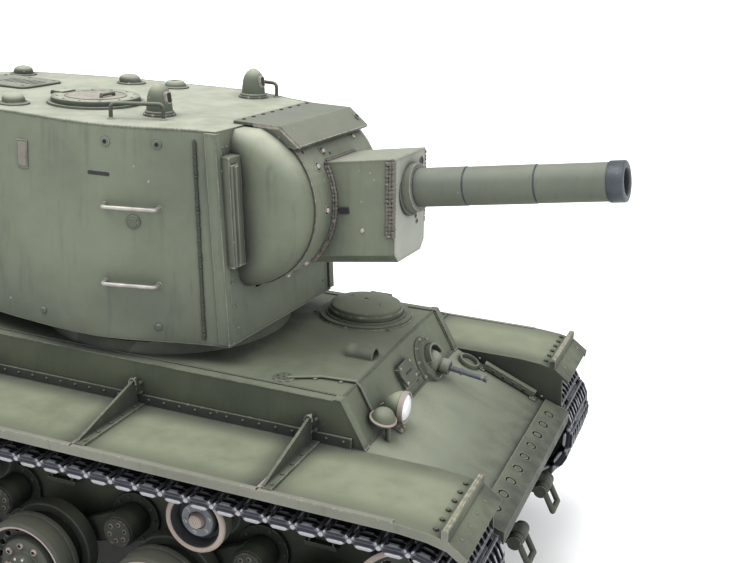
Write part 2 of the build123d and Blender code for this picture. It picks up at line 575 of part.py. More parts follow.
def hull_hatch():
    """Domed lid of the roof hatch, with its hinge lug and a plug that centres it."""
    z = ROOF_Z + 2.2
    lid = rod_z(HATCH_X, HATCH_Y, z, z + 1.6, 16.6)
    dome_r = 70.0
    dome = Pos(HATCH_X, HATCH_Y, z + 5.0 - dome_r) * Sphere(dome_r)
    lid += dome & rod_z(HATCH_X, HATCH_Y, z + 1.0, z + 6.0, 15.6)
    hinge_y = HATCH_Y + HATCH_HINGE
    lid += rod((HATCH_X - 5.0, hinge_y, z + 1.2), (HATCH_X + 5.0, hinge_y, z + 1.2), 1.2)
    lid += block(HATCH_X - 4.0, HATCH_X + 4.0, hinge_y - 4.0, hinge_y, z + 0.3, z + 2.0)
    lid += rod_z(HATCH_X, HATCH_Y, ROOF_Z - 1.8, z + 0.1, 15.0)
    lid -= rod_z(HATCH_X, HATCH_Y, ROOF_Z - 3.0, z - 0.4, 13.4)
    return lid


def headlight():
    """Headlight bowl, its lens, and the horn, on brackets below the driver's plate."""
    x, y, z = ROOF_EDGE_X + 17.0, -30.0, 95.0
    profile = [(0.0, 0.0), (4.4, 0.0), (6.3, 0.8), (6.3, 2.4), (5.6, 5.0), (3.6, 8.2), (0.0, 9.2)]
    bowl = revolve(Face(Wire.make_polygon([(x - d, y, z + r) for r, d in profile])),
                   Axis((x, y, z), (1, 0, 0)), 360)
    bowl -= rod((x - 1.2, y, z), (x + 1, y, z), 5.4)
    lens = rod((x - 1.15, y, z), (x + 0.35, y, z), 5.3)
    bowl += block(x - 6.0, x - 3.0, y - 0.8, y + 0.8, 84.4, z - 4.0)
    bowl += block(x - 8.5, x - 1.0, y - 2.2, y + 2.2, 83.5, 85.2)
    bowl -= slab([(ROOF_EDGE_X + 3.0, 90.1), (ROOF_EDGE_X + 22.0, 83.6), (ROOF_EDGE_X + 22.0, 78.0),
                  (ROOF_EDGE_X + 3.0, 78.0)], y - 4, y + 4)
    hx, hy, hz = ROOF_EDGE_X + 12.2, -41.8, 94.6
    horn = (Pos(hx, hy, hz) * Sphere(4.6)) & block(hx - 6, hx + 6, hy - 6, hy + 6, hz, hz + 6)
    horn += rod_z(hx, hy, hz - 0.9, hz + 0.01, 5.2)
    horn += rod_z(hx + 2.4, hy, 86.9, hz - 0.5, 1.1)
    return [bowl, lens, horn]


def mg_ball():
    """Ball with its collar and thin barrel, aimed a little down."""
    collar_r = 3.0
    collar_x = (BALL_R ** 2 - collar_r ** 2) ** 0.5
    outline = Wire([
        Edge.make_three_point_arc((-BALL_R, 0, 0), (0, BALL_R, 0), (collar_x, collar_r, 0)),
        *Wire.make_polygon([(collar_x, collar_r, 0), (9.0, collar_r, 0), (9.0, 1.25, 0),
                            (26.0, 1.25, 0), (26.0, 0.6, 0), (22.0, 0.6, 0), (22.0, 0, 0),
                            (-BALL_R, 0, 0)], close=False).edges()])
    ball = revolve(Face(outline), Axis.X, 360)
    return Pos(*on_plate(MG_POINT, BALL_OUT)) * Rot(0, 8, 0) * ball


def hull_screws():
    """Cross-head screws up through the tub's posts into the casing."""
    solids = []
    for x, y in SCREW_PLACES:
        shank_top = 96.5 if x > DECK_X else 91.0
        screw = rod_z(x, y, 77.4, 79.9, 2.6) + rod_z(x, y, 79.0, shank_top, 1.3)
        screw -= block(x - 2.0, x + 2.0, y - 0.35, y + 0.35, 77.0, 78.3)
        screw -= block(x - 0.35, x + 0.35, y - 2.0, y + 2.0, 77.0, 78.3)
        solids.append(screw)
    return solids


# ---- internals ----------------------------------------------------------------------
FLOOR_Z = BELLY_Z + WALL + 0.05


def battery():
    pack = block(-52.0, 22.0, -22.5, 22.5, FLOOR_Z, FLOOR_Z + 24.0)
    pack += block(22.0, 25.0, -9.0, 9.0, FLOOR_Z + 6.0, FLOOR_Z + 16.0)
    return pack


def receiver_and_speaker():
    board = block(36.0, 96.0, -30.0, 14.0, FLOOR_Z + 6.0, FLOOR_Z + 7.6)
    for x in (39.0, 93.0):
        for y in (-27.0, 11.0):
            board += rod_z(x, y, FLOOR_Z, FLOOR_Z + 6.1, 2.4)
    board += block(48.0, 62.0, -20.0, -6.0, FLOOR_Z + 7.6, FLOOR_Z + 10.0)
    board += block(70.0, 88.0, -26.0, 8.0, FLOOR_Z + 7.6, FLOOR_Z + 14.0)
    board += rod_z(44.0, 4.0, FLOOR_Z + 7.5, FLOOR_Z + 16.0, 3.0)
    speaker = rod_z(64.0, 33.5, FLOOR_Z, FLOOR_Z + 3.0, 14.5)
    speaker += rod_z(64.0, 33.5, FLOOR_Z + 3.0, FLOOR_Z + 9.0, 8.5)
    speaker -= rod_z(64.0, 33.5, FLOOR_Z - 1.0, FLOOR_Z + 1.0, 12.5)
    return [board, speaker]


PINION_R = GEAR_MODULE * PINION_TEETH / 2
RING_GEAR_R = GEAR_MODULE * RING_TEETH / 2
PINION_X = RING_X - (RING_GEAR_R - PINION_R)


def drive_units():
    """Two drive gearboxes with their motors, and the slew motor on a bridge over the battery."""
    units = []
    for side in SIDES.values():
        box = block(SPROCKET_X - 6.0, SPROCKET_X + 34.0, side * 22.0, side * 47.0, 52.0, 66.0)
        box += block(SPROCKET_X + 10.0, SPROCKET_X + 34.0, side * 22.0, side * 47.0, 36.0, 52.0)
        box += block(SPROCKET_X + 16.0, SPROCKET_X + 30.0, side * 26.0, side * 44.0,
                     FLOOR_Z, 36.5)
        y = side * 32.5
        motor_x = SPROCKET_X + 34.0
        box += rod((motor_x, y, 50.0), (motor_x + 30.0, y, 50.0), 9.0)
        box += rod((motor_x + 30.0, y, 50.0), (motor_x + 33.0, y, 50.0), 4.0)
        units.append(box)
    x0 = PINION_X - 12.0
    x1 = PINION_X + 12.0
    top = FLOOR_Z + 26.5
    slew = rod_z(PINION_X, 0, 70.0, 95.0, 8.0)
    slew += rod_z(PINION_X, 0, 95.0, 104.5, 1.5)
    slew += block(PINION_X - 4.0, PINION_X + 4.0, -4.0, 4.0, top - 2.3, 70.5)
    slew += block(x0, x1, -30.0, 30.0, top - 2.3, top)
    slew += block(x0, x1, -30.0, -26.2, FLOOR_Z, top)
    slew += block(x0, x1, 26.2, 30.0, FLOOR_Z, top)
    return units + [slew]


def gear_outline(teeth, pitch_r, tip_r, root_r, tip_share, root_share, phase):
    """Corner points of a toothed outline; shares are tooth width over pitch at each radius."""
    points = []
    step = 2 * pi / teeth
    for i in range(teeth):
        middle = step * (i + phase)
        for radius, share in ((root_r, -root_share), (tip_r, -tip_share),
                              (tip_r, tip_share), (root_r, root_share)):
            angle = middle + share * step / 2
            points.append((radius * cos(angle), radius * sin(angle)))
    return points


def slew_pinion():
    """Pinion on the slew motor's shaft, in mesh with the turret's ring gear."""
    outline = gear_outline(PINION_TEETH, PINION_R, PINION_R + 1.15, PINION_R - 1.6,
                           0.20, 0.56, 0.0)
    gear = deck([(PINION_X + x, y) for x, y in outline], 101.0, 107.0)
    gear += rod_z(PINION_X, 0, 99.4, 101.1, 4.6)
    gear -= rod_z(PINION_X, 0, 99.0, 105.0, 1.5 + RUN_GAP)
    return gear


# ---- turret -------------------------------------------------------------------------
def in_turret(shape):
    """Turret frame (x, y from the ring's middle) to the tank's frame, at the rest yaw."""
    return Pos(RING_X, 0, 0) * Rot(0, 0, TURRET_YAW) * shape


def gun_up(shape):
    """Level gun to the raised rest pose, about the trunnions, in the turret frame."""
    x, y, z = TRUNNION
    return Pos(x, y, z) * Rot(0, -GUN_RISE, 0) * Pos(-x, -y, -z) * shape


SIDE_LOW = [(56.9, 42.0), (35.5, 48.2), (11.0, 56.8), (-4.1, 58.6), (-22.1, 58.3),
            (-56.0, 55.0), (-92.0, 46.6), (-116.0, 37.4)]
SIDE_TOP = [(50.9, 41.2), (34.0, 45.4), (11.4, 53.2), (-3.0, 54.4), (-22.0, 53.4),
            (-56.0, 50.0), (-91.0, 42.2), (-113.0, 34.4)]
REAR_LOW_X = -124.5
REAR_TOP_X = -121.0


def turret_wire(side_points, rear_x, z, inset):
    """Closed plan outline: straight front, curved sides, rounded rear."""
    right = [(x, -(y - inset), z) for x, y in side_points]
    right[0] = (right[0][0] - inset, *right[0][1:])
    left = [(x, -y, z) for x, y, z in right]
    rear = rear_x + inset
    corner = (rear, -(side_points[-1][1] - 12.0), z)
    edges = [Edge.make_line(left[0], right[0]),
             Edge.make_spline([Vector(*p) for p in right]),
             Edge.make_spline([Vector(*right[-1]), Vector(rear + 3.6, right[-1][1] + 5.6, z),
                               Vector(*corner)]),
             Edge.make_line(corner, (corner[0], -corner[1], z)),
             Edge.make_spline([Vector(corner[0], -corner[1], z),
                               Vector(rear + 3.6, left[-1][1] - 5.6, z), Vector(*left[-1])]),
             Edge.make_spline([Vector(*p) for p in reversed(left)])]
    return Wire(edges)


def turret_block(z0, z1, inset):
    """The turret's outer form, or its hollow when inset by the wall's thickness."""
    low = turret_wire(SIDE_LOW, REAR_LOW_X, z0, inset)
    top = turret_wire(SIDE_TOP, REAR_TOP_X, z1, inset)
    return Solid.make_loft([low, top], True)


def arc_slab(radius, start_deg, end_deg, y0, y1):
    """A pie sector round the trunnion axis, in the turret frame, gun level."""
    x, _, z = TRUNNION
    points = [(x, z)]
    count = 24
    for i in range(count + 1):
        angle = radians(start_deg + (end_deg - start_deg) * i / count)
        points.append((x + radius * cos(angle), z + radius * sin(angle)))
    return slab(points, y0, y1)


DOOR_Z0 = 122.0
DOOR_Z1 = 176.0
DOOR_HALF = 15.0
ROOF_HATCH = (-25.2, -15.0, 18.0)


def turret_shell():
    """Welded turret: walls and roof of one thickness, rounded cheeks, open front and ring."""
    tx, _, tz = TRUNNION
    shell = turret_block(TURRET_BOTTOM_Z, TURRET_TOP_Z, 0.0)
    shell -= turret_block(TURRET_BOTTOM_Z - 1.0, TURRET_TOP_Z - ROOF_T, 2.6)
    cheeks = [(MANTLET_Y0 - 12.0, MANTLET_Y0 - 0.2, 0, 8.6),
              (MANTLET_Y1 + 0.2, MANTLET_Y1 + 7.0, -1, 5.0)]
    for y0, y1, outer_edge, rounding in cheeks:
        cheek = rod_y(tx, tz, y0, y1, 32.2)
        rims = cheek.edges().filter_by(GeomType.CIRCLE).sort_by(Axis.Y)
        cheek = fillet(rims[outer_edge], rounding)
        cheek &= block(tx - 14.0, tx + 40.0, y0, y1, 133.0, TURRET_TOP_Z - 0.6)
        shell += cheek
    shell -= block(tx - 20.0, tx + 60.0, MANTLET_Y0 - 0.2, MANTLET_Y1 + 0.2, 131.2, 193.0)
    shell -= rod_y(tx, tz, MANTLET_Y0 - 5.0, MANTLET_Y1 + 5.0, 3.0 + RUN_GAP)
    for sign in (-1, 1):
        shell += slab([(53.0, 114.4), (57.9, 114.4), (51.9, TURRET_TOP_Z - 0.6),
                       (47.0, TURRET_TOP_Z - 0.6)], sign * 39.6, sign * 43.2)
    shell += block(48.0, 59.2, -40.4, -32.0, 144.9, 187.0) & slab(
        [(50.0, 144.9), (58.6, 144.9), (56.0, 187.0), (50.0, 187.0)], -40.4, -32.6)
    x, y, r = ROOF_HATCH
    shell += rod_z(x, y, TURRET_TOP_Z - 1.0, TURRET_TOP_Z + 0.9, r + 1.6)
    shell -= rod_z(x, y, TURRET_TOP_Z - 5.0, TURRET_TOP_Z + 3.0, r - 1.6)
    shell -= block(REAR_LOW_X - 5.0, REAR_LOW_X + 12.0, -DOOR_HALF + 1.6, DOOR_HALF - 1.6,
                   DOOR_Z0 + 1.6, DOOR_Z1 - 1.6)
    return in_turret(shell)


RING_PHASE = (180.0 - TURRET_YAW) * RING_TEETH / 360.0 % 1.0   # a gap faces the pinion


def turret_base():
    """Floor plate with the ring skirt, internal gear teeth and three retaining lugs."""
    floor = turret_block(TURRET_BOTTOM_Z + 0.3, TURRET_TOP_Z, 3.1)
    floor &= block(-140, 80, -70, 70, TURRET_BOTTOM_Z, TURRET_BOTTOM_Z + 2.3)
    floor += rod_z(0, 0, RING_Z + 0.2, TURRET_BOTTOM_Z + 1.0, 50.0)
    floor += rod_z(0, 0, 98.6, RING_Z + 1.0, RING_HOLE_R - 0.2)
    for i in range(3):
        lug = rod_z(0, 0, 99.0, 102.6, RING_HOLE_R + 1.6)
        lug &= Rot(0, 0, 120 * i + 60) * block(30.0, 60.0, -7.0, 7.0, 98.0, 103.0)
        floor += lug
    teeth = gear_outline(RING_TEETH, RING_GEAR_R, RING_GEAR_R + 1.6, RING_GEAR_R - 1.1,
                         0.42, 0.76, RING_PHASE)
    floor -= deck(teeth, 98.0, 108.0)
    floor -= rod_z(0, 0, 107.5, TURRET_BOTTOM_Z + 5.0, 36.0)
    return in_turret(floor)


def turret_fittings():
    """Fixed fittings: domes, rungs, rain guard, covers, plug, vent and lifting rings."""
    tz = TURRET_TOP_Z + 0.02
    solids = []
    for x, y in ((13.4, -24.0), (17.7, 38.6)):
        dome = rod_z(x, y, tz, tz + 1.4, 6.4) + rod_z(x, y, tz + 1.4, tz + 8.2, 4.9)
        dome += Pos(x, y, tz + 8.2) * Sphere(4.9)
        dome -= block(x + 3.0, x + 8.0, y - 2.6, y + 2.6, tz + 6.4, tz + 9.2)
        solids.append(dome)
    mushroom = rod_z(-24.7, 39.8, tz, tz + 1.4, 6.0) + rod_z(-24.7, 39.8, tz + 1.4, tz + 3.2, 4.4)
    mushroom -= block(-25.1, -24.3, 37.0, 42.6, tz + 2.6, tz + 4.0)
    solids.append(mushroom)
    for x, y in ((-47.7, 38.0), (-47.7, -38.0), (-104.0, 28.0), (-104.0, -28.0)):
        cover = slab([(x - 5.0, tz), (x + 5.0, tz), (x + 3.2, tz + 3.6), (x - 4.0, tz + 4.6)],
                     y - 5.5, y + 5.5)
        solids.append(cover)
    vent = block(-106.0, -70.5, -8.0, 18.0, tz, tz + 1.0)
    vent = fillet(vent.edges().filter_by(Axis.Z), 4.0)
    solids.append(vent)
    tx, _, trunnion_z = TRUNNION
    guard_y0 = MANTLET_Y0 - 1.6
    guard_y1 = MANTLET_Y1 + 1.8
    guard = slab([(46.0, tz), (66.6, tz), (75.0, tz - 6.4), (75.6, tz - 5.2), (67.0, tz + 1.4),
                  (46.0, tz + 1.4)], guard_y0, guard_y1)
    guard -= block(40.0, 55.0, -60, 60, tz - 9, tz)
    guard += slab([(56.0, tz + 0.4), (67.0, tz + 0.4), (75.0, tz - 6.0), (72.6, tz - 7.2),
                   (65.2, tz - 4.6), (56.0, tz - 3.0)], guard_y0, guard_y0 + 1.0)
    sweep = rod_y(tx, trunnion_z, guard_y0 - 1.0, guard_y1 + 1.0, MANTLET_R + 0.1)
    guard -= sweep & block(tx, 90.0, -60, 60, 150.0, tz)
    for i in range(8):
        guard += rod_z(49.6, guard_y0 + 4.5 + i * (guard_y1 - guard_y0 - 9.0) / 7,
                       tz + 1.3, tz + 2.2, 1.25)
    solids.append(guard)
    form = turret_block(TURRET_BOTTOM_Z, TURRET_TOP_Z, -0.05)
    for side in SIDES.values():
        for z in (136.0, 166.0):
            a = (10.0, side * (turret_side_y(10.0, z) + 4.2), z - 0.5)
            b = (30.0, side * (turret_side_y(30.0, z) + 4.2), z - 0.5)
            rung = rod(a, b, 0.75)
            for x in (10.0, 30.0):
                y = turret_side_y(x, z)
                rung += rod((x, side * (y + 0.3), z), (x, side * (y + 4.4), z - 0.5), 0.75)
            solids.append(rung)
        for x in (10.3, 29.2):
            y = turret_side_y(x, 190.0)
            ring = rod((x, side * (y - 1.5), 189.4), (x, side * (y + 2.6), 191.0), 2.2)
            ring -= rod_z(x, side * (y + 1.4), 184.0, 196.0, 0.8)
            solids.append(ring - form)
        y = turret_side_y(20.9, 160.2)
        plug = rod((20.9, side * (y - 1.5), 160.2), (20.9, side * (y + 1.3), 160.2), 2.7)
        solids.append(plug - form)
    for side, x0, y0, x1, y1 in ((-1, 4.0, -42.0, 21.4, -32.4), (1, 25.4, 45.6, 8.5, 48.0)):
        rail = rod((x0, y0, tz), (x0, y0, tz + 6.0), 0.8)
        rail += rod((x1, y1, tz), (x1, y1, tz + 6.0), 0.8)
        rail += rod((x0, y0, tz + 6.0), (x1, y1, tz + 6.0), 0.8)
        rail += Pos(x0, y0, tz + 6.0) * Sphere(0.8)
        rail += Pos(x1, y1, tz + 6.0) * Sphere(0.8)
        solids.append(rail)
    return [in_turret(solid) for solid in solids]


def turret_side_y(x, z):
    """Half width of the turret's outer form at x and z, by straight interpolation."""
    def half(points):
        for (xa, ya), (xb, yb) in zip(points, points[1:]):
            if xa >= x >= xb:
                return ya + (yb - ya) * (xa - x) / (xa - xb)
        return points[-1][1]
    share = (z - TURRET_BOTTOM_Z) / (TURRET_TOP_Z - TURRET_BOTTOM_Z)
    return half(SIDE_LOW) * (1 - share) + half(SIDE_TOP) * share + 0.25


def turret_hatch():
    """Roof hatch lid with its plug, hinge and handle."""
    x, y, r = ROOF_HATCH
    z = TURRET_TOP_Z + 1.05
    lid = rod_z(x, y, z, z + 1.8, r)
    lid += rod_z(x, y, z - 3.0, z + 0.1, r - 2.0)
    lid -= rod_z(x, y, z - 4.0, z - 0.6, r - 3.4)
    lid += block(x - r - 1.3, x - r + 4.0, y - 4.0, y + 4.0, z + 0.2, z + 2.4)
    lid += rod_y(x - r - 1.3, z + 1.3, y - 4.0, y + 4.0, 1.3)
    lid += rod((x + 6.0, y - 4.0, z + 3.0), (x + 6.0, y + 4.0, z + 3.0), 0.7)
    for k in (-4.0, 4.0):
        lid += rod_z(x + 6.0, y + k, z + 1.7, z + 3.0, 0.7)
    return in_turret(lid)


DOOR_T = 1.9
DOOR_GAP = 0.15
HINGE_OUT = 2.4            # hinge axis behind the rear wall
HINGE_Y = DOOR_HALF + 1.4


def rear_wall_x(z):
    """Outer face of the turret's rear wall at a height, in the turret frame."""
    share = (z - TURRET_BOTTOM_Z) / (TURRET_TOP_Z - TURRET_BOTTOM_Z)
    return REAR_LOW_X + (REAR_TOP_X - REAR_LOW_X) * share


def turret_door():
    """Rear door with its ball port and hinge barrels; it swings out on its left edge."""
    corners = [(rear_wall_x(z) - gap, z) for z, gap in (
        (DOOR_Z0, DOOR_GAP), (DOOR_Z0, DOOR_GAP + DOOR_T), (DOOR_Z1, DOOR_GAP + DOOR_T),
        (DOOR_Z1, DOOR_GAP))]
    door = slab(corners, -DOOR_HALF, DOOR_HALF)
    port_z = (DOOR_Z0 + DOOR_Z1) / 2 + 4.0
    x = rear_wall_x(port_z) - DOOR_GAP - DOOR_T
    door += rod((x + 0.5, 0, port_z), (x - 1.6, 0, port_z), 6.5)
    port = revolve(Face(Wire([
        Edge.make_three_point_arc((-4.0, 0, 0), (0, 4.0, 0), (4.0, 0, 0)),
        Edge.make_line((4.0, 0, 0), (-4.0, 0, 0))])), Axis.X, 360)
    door += Pos(x - 1.6, 0, port_z) * port
    door += rod((x - 4.0, 0, port_z), (x - 14.0, 0, port_z), 1.2)
    for z in (DOOR_Z0 + 10.0, DOOR_Z1 - 10.0):
        hinge_x = rear_wall_x(z) - HINGE_OUT
        low = (rear_wall_x(z - 4.0) - HINGE_OUT, HINGE_Y, z - 4.0)
        high = (rear_wall_x(z + 4.0) - HINGE_OUT, HINGE_Y, z + 4.0)
        door += rod(low, high, 1.3)
        door += block(hinge_x - 1.0, hinge_x + 0.6, DOOR_HALF - 5.0, HINGE_Y, z - 3.0, z + 3.0)
    return in_turret(door)


def elevation_servo():
    """Servo on the turret floor with its push rod to the back of the gun mount."""
    z0 = TURRET_BOTTOM_Z + 2.7
    case = block(-34.0, 6.0, 2.0, 22.0, z0, z0 + 30.0)
    case += block(-40.0, 12.0, 2.0, 22.0, z0, z0 + 2.5)
    case += rod_y(-4.0, z0 + 22.0, -1.5, 2.1, 6.0)
    return in_turret(case)


def mantlet():
    """Curved shield, side plates, trunnions, gun cradle box and the recoil sleeve."""
    tx, ty, tz = TRUNNION
    top_deg, low_deg = 40.0, -104.0
    shield = arc_slab(MANTLET_R, low_deg, top_deg, MANTLET_Y0, MANTLET_Y1)
    shield -= rod_y(tx, tz, MANTLET_Y0 + 2.0, MANTLET_Y1 - 2.0, MANTLET_R - 2.6)
    shield += rod_y(tx, tz, MANTLET_Y0 - 4.0, MANTLET_Y0 + 2.0, 3.0)
    shield += rod_y(tx, tz, MANTLET_Y1 - 2.0, MANTLET_Y1 + 4.0, 3.0)
    shield += rod_y(tx, tz, MANTLET_Y0, MANTLET_Y0 + 2.0, 8.0)
    shield += rod_y(tx, tz, MANTLET_Y1 - 2.0, MANTLET_Y1, 8.0)
    half = 14.4
    box = slab([(tx + 22.0, tz + 12.6), (tx + 61.3, tz + 12.6), (tx + 56.1, tz - 28.2),
                (tx + 14.0, tz - 28.2)], ty - half, ty + half)
    hollow = slab([(tx + 10.0, tz + 10.4), (tx + 58.8, tz + 10.4), (tx + 54.0, tz - 26.0),
                   (tx + 10.0, tz - 26.0)], ty - half + 2.2, ty + half - 2.2)
    box = chamfer(box.edges().filter_by(Axis.X).sort_by(Axis.Z)[:2], 3.6)
    box -= hollow
    box -= rod_y(tx, tz, MANTLET_Y0, MANTLET_Y1, MANTLET_R - 2.6)
    sleeve = rod((tx + 20.0, ty, tz - 1.0), (tx + 63.5, ty, tz - 1.0), 9.6)
    shape = shield + box + sleeve
    shape -= rod((tx - 10.0, ty, tz - 1.0), (tx + 70.0, ty, tz - 1.0), 7.6 + RUN_GAP)
    return in_turret(gun_up(shape))


def barrel():
    """Howitzer barrel, sliding in the cradle's sleeve, with an open bore."""
    tx, ty, tz = TRUNNION
    z = tz - 1.0
    gun = rod((tx - 6.0, ty, z), (tx + 84.0, ty, z), 7.6)
    steps = ((84.0, 111.6, 7.4), (111.6, 138.0, 7.2), (138.0, 144.1, 7.6))
    for start, end, radius in steps:
        gun += rod((tx + start, ty, z), (tx + end, ty, z), radius)
    gun -= rod((tx + 20.0, ty, z), (tx + 146.0, ty, z), 4.6)
    gun += rod((tx - 9.0, ty, z), (tx - 6.0, ty, z), 8.6)
    return in_turret(gun_up(gun))


# ---- write every sub-part -------------------------------------------------------------
for side_name, sign in SIDES.items():
    save(f"track_{side_name}", *track(sign))
    for number in range(WHEEL_COUNT):
        wheel_x = FIRST_WHEEL_X - number * WHEEL_STEP
        save(f"road_wheel_{side_name}_{number + 1}", road_wheel(wheel_x, sign))
        hub_end = FIRST_HUB_END if number == 0 else HUB_END
        save(f"suspension_arm_{side_name}_{number + 1}", arm(wheel_x, sign, hub_end))
    for number, roller_x in enumerate(ROLLER_X):
        save(f"return_roller_{side_name}_{number + 1}", return_roller(roller_x, sign))
    save(f"idler_{side_name}", idler(sign))
    save(f"drive_sprocket_{side_name}", sprocket(sign))

save("suspension_housings", *suspension_housings())
save("hull_lower", hull_lower())
save("hull_upper", hull_upper())
save("nose_strip", *nose_strip())
save("fenders", fender(-1), fender(1))
save("fender_brackets", *fender_brackets())
shackles = []
for shackle_y in (-22.0, 22.0):
    shackles += tow_shackle(ROOF_EDGE_X + 63.2, shackle_y, 47.0, 1)
    shackles += tow_shackle(HULL_REAR_X - 6.2, shackle_y, 62.0, -1)
save("tow_shackles", *shackles)
save("engine_deck", *engine_deck())
save("hull_hatch", hull_hatch())
save("headlight", *headlight())
save("mg_ball", mg_ball())
save("hull_screws", *hull_screws())
save("battery", battery())
save("receiver_and_speaker", *receiver_and_speaker())
save("drive_units", *drive_units())
save("slew_pinion", slew_pinion())
save("turret_shell", turret_shell())
save("turret_base", turret_base())
save("turret_fittings", *turret_fittings())
save("turret_hatch", turret_hatch())
save("turret_door", turret_door())
save("elevation_servo", elevation_servo())
save("mantlet", mantlet())
save("barrel", barrel())
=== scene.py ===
import json
import random
from math import acos, atan2, ceil, cos, hypot, pi, radians, sin

import bmesh
import bpy
from mathutils import Matrix, Vector


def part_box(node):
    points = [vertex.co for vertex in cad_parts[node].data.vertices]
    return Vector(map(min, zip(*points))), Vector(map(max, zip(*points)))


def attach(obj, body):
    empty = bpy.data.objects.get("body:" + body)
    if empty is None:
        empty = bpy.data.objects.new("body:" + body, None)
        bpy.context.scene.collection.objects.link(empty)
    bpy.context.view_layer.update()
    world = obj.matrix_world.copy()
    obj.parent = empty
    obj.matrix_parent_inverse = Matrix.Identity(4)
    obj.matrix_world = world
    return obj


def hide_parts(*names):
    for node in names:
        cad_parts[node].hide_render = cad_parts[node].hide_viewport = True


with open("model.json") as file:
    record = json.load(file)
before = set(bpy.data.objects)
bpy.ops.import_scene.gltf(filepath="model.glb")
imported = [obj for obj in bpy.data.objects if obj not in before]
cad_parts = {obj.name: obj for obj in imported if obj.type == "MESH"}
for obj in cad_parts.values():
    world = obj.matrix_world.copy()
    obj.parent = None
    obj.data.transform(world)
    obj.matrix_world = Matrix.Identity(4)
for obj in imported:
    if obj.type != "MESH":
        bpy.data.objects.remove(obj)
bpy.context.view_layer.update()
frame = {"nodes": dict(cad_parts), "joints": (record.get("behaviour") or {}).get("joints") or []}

# Shapes are written in millimetres, in one of three places: the tank's frame, the
# turret's (from the middle of its ring) and the gun's (from its trunnions). Each piece is
# turned into metres in the tank's frame when it is made.
MM = 0.001
SIDES = {"right": -1, "left": 1}
EDGE = 140.98            # front edge of the hull's roof
HULL_ROOF = 105.1
FENDER_TOP = 87.6
HULL_HATCH = (EDGE - 25.8, 34.5)
DECK = EDGE - 188.0      # front edge of the engine deck
BRACKETS = (EDGE - 9.6, 75.3)     # the first fender bracket and the step to the next
WHEEL_PITCH = 58.2
WALL_BOLT_PITCH = 6.9
DOMES = ((13.4, -24.0), (17.7, 38.6))                # turret frame
MUSHROOM = (-24.7, 39.8)
ROOF_HATCH = (-25.2, -15.0)
random.seed(7)

JOINTS = {joint["name"]: joint for joint in frame["joints"]}
NODES = frame["nodes"]


def place_from(origin, x_axis, y_axis):
    """Millimetres in a local frame to metres in the tank's frame."""
    x = Vector(x_axis).normalized()
    y = Vector(y_axis).normalized()
    turn = Matrix((x, y, x.cross(y))).transposed().to_4x4()
    turn.translation = origin
    return turn @ Matrix.Scale(MM, 4)


ring = Vector(JOINTS["turret_yaw"]["pos_m"])
trunnion = Vector(JOINTS["gun_elevation"]["pos_m"])
across = -Vector(JOINTS["gun_elevation"]["axis"])
gun_line = -Vector(JOINTS["barrel_recoil"]["axis"])
TANK = Matrix.Scale(MM, 4)
TURRET = place_from((ring.x, ring.y, 0.0), across.cross(Vector((0, 0, 1))), across)
GUN = place_from(trunnion, gun_line, across)
TURRET_TO_GUN = TURRET.inverted() @ GUN


def middle(node):
    """Middle of a node's box, in millimetres."""
    low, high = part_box(node)
    return (low + high) / 2 / MM


def top_of(node):
    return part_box(node)[1] / MM


def low_of(node):
    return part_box(node)[0] / MM


# ---- shapes in mesh code ---------------------------------------------------------------
def soften(points, radius, steps=3, closed=True):
    """A 2D outline with each corner rounded by a short curve."""
    count = len(points)
    result = []
    for i, point in enumerate(points):
        if not closed and i in (0, count - 1):
            result.append(point)
            continue
        here = Vector(point)
        before = Vector(points[i - 1]) - here
        after = Vector(points[(i + 1) % count]) - here
        reach = min(radius, before.length * 0.45, after.length * 0.45)
        start = here + before.normalized() * reach
        end = here + after.normalized() * reach
        for k in range(steps + 1):
            t = k / steps
            result.append(tuple(start * (1 - t) ** 2 + here * 2 * t * (1 - t) + end * t * t))
    return result


def loft(bm, rings, material=0, caps=True):
    """Skin between rings of points; material may be one index or one for each step."""
    rows = [[bm.verts.new(point) for point in ring_] for ring_ in rings]
    count = len(rows[0])
    for step, (a, b) in enumerate(zip(rows, rows[1:])):
        index = material if isinstance(material, int) else material[step]
        for i in range(count):
            j = (i + 1) % count
            bm.faces.new((a[i], a[j], b[j], b[i])).material_index = index
    if caps:
        first = material if isinstance(material, int) else material[0]
        last = material if isinstance(material, int) else material[-1]
        bm.faces.new(rows[0]).material_index = first
        bm.faces.new(rows[-1]).material_index = last
    return rows


def axes_of(direction):
    """Two unit vectors square to a direction."""
    direction = Vector(direction).normalized()
    helper = Vector((0, 0, 1)) if abs(direction.z) < 0.9 else Vector((1, 0, 0))
    u = direction.cross(helper).normalized()
    return u, direction.cross(u).normalized()


def circle(centre, u, v, radius, count, start=0.0):
    return [centre + radius * (cos(start + 2 * pi * i / count) * u + sin(start + 2 * pi * i / count) * v)
            for i in range(count)]


def lathe(bm, base, direction, profile, count=32, material=0, start=0.0):
    """Turn (along, radius) points round an axis through base."""
    base = Vector(base)
    direction = Vector(direction).normalized()
    u, v = axes_of(direction)
    rings = [circle(base + direction * along, u, v, max(radius, 0.02), count, start)
             for along, radius in profile]
    return loft(bm, rings, material)


def rod(bm, start, end, radius, count=20, material=0, edge=0.15):
    """A round bar with a small chamfer at both ends."""
    length = (Vector(end) - Vector(start)).length
    edge = min(edge, radius * 0.4, length * 0.3)
    lathe(bm, start, Vector(end) - Vector(start),
          [(0, radius - edge), (edge, radius), (length - edge, radius), (length, radius - edge)],
          count, material)


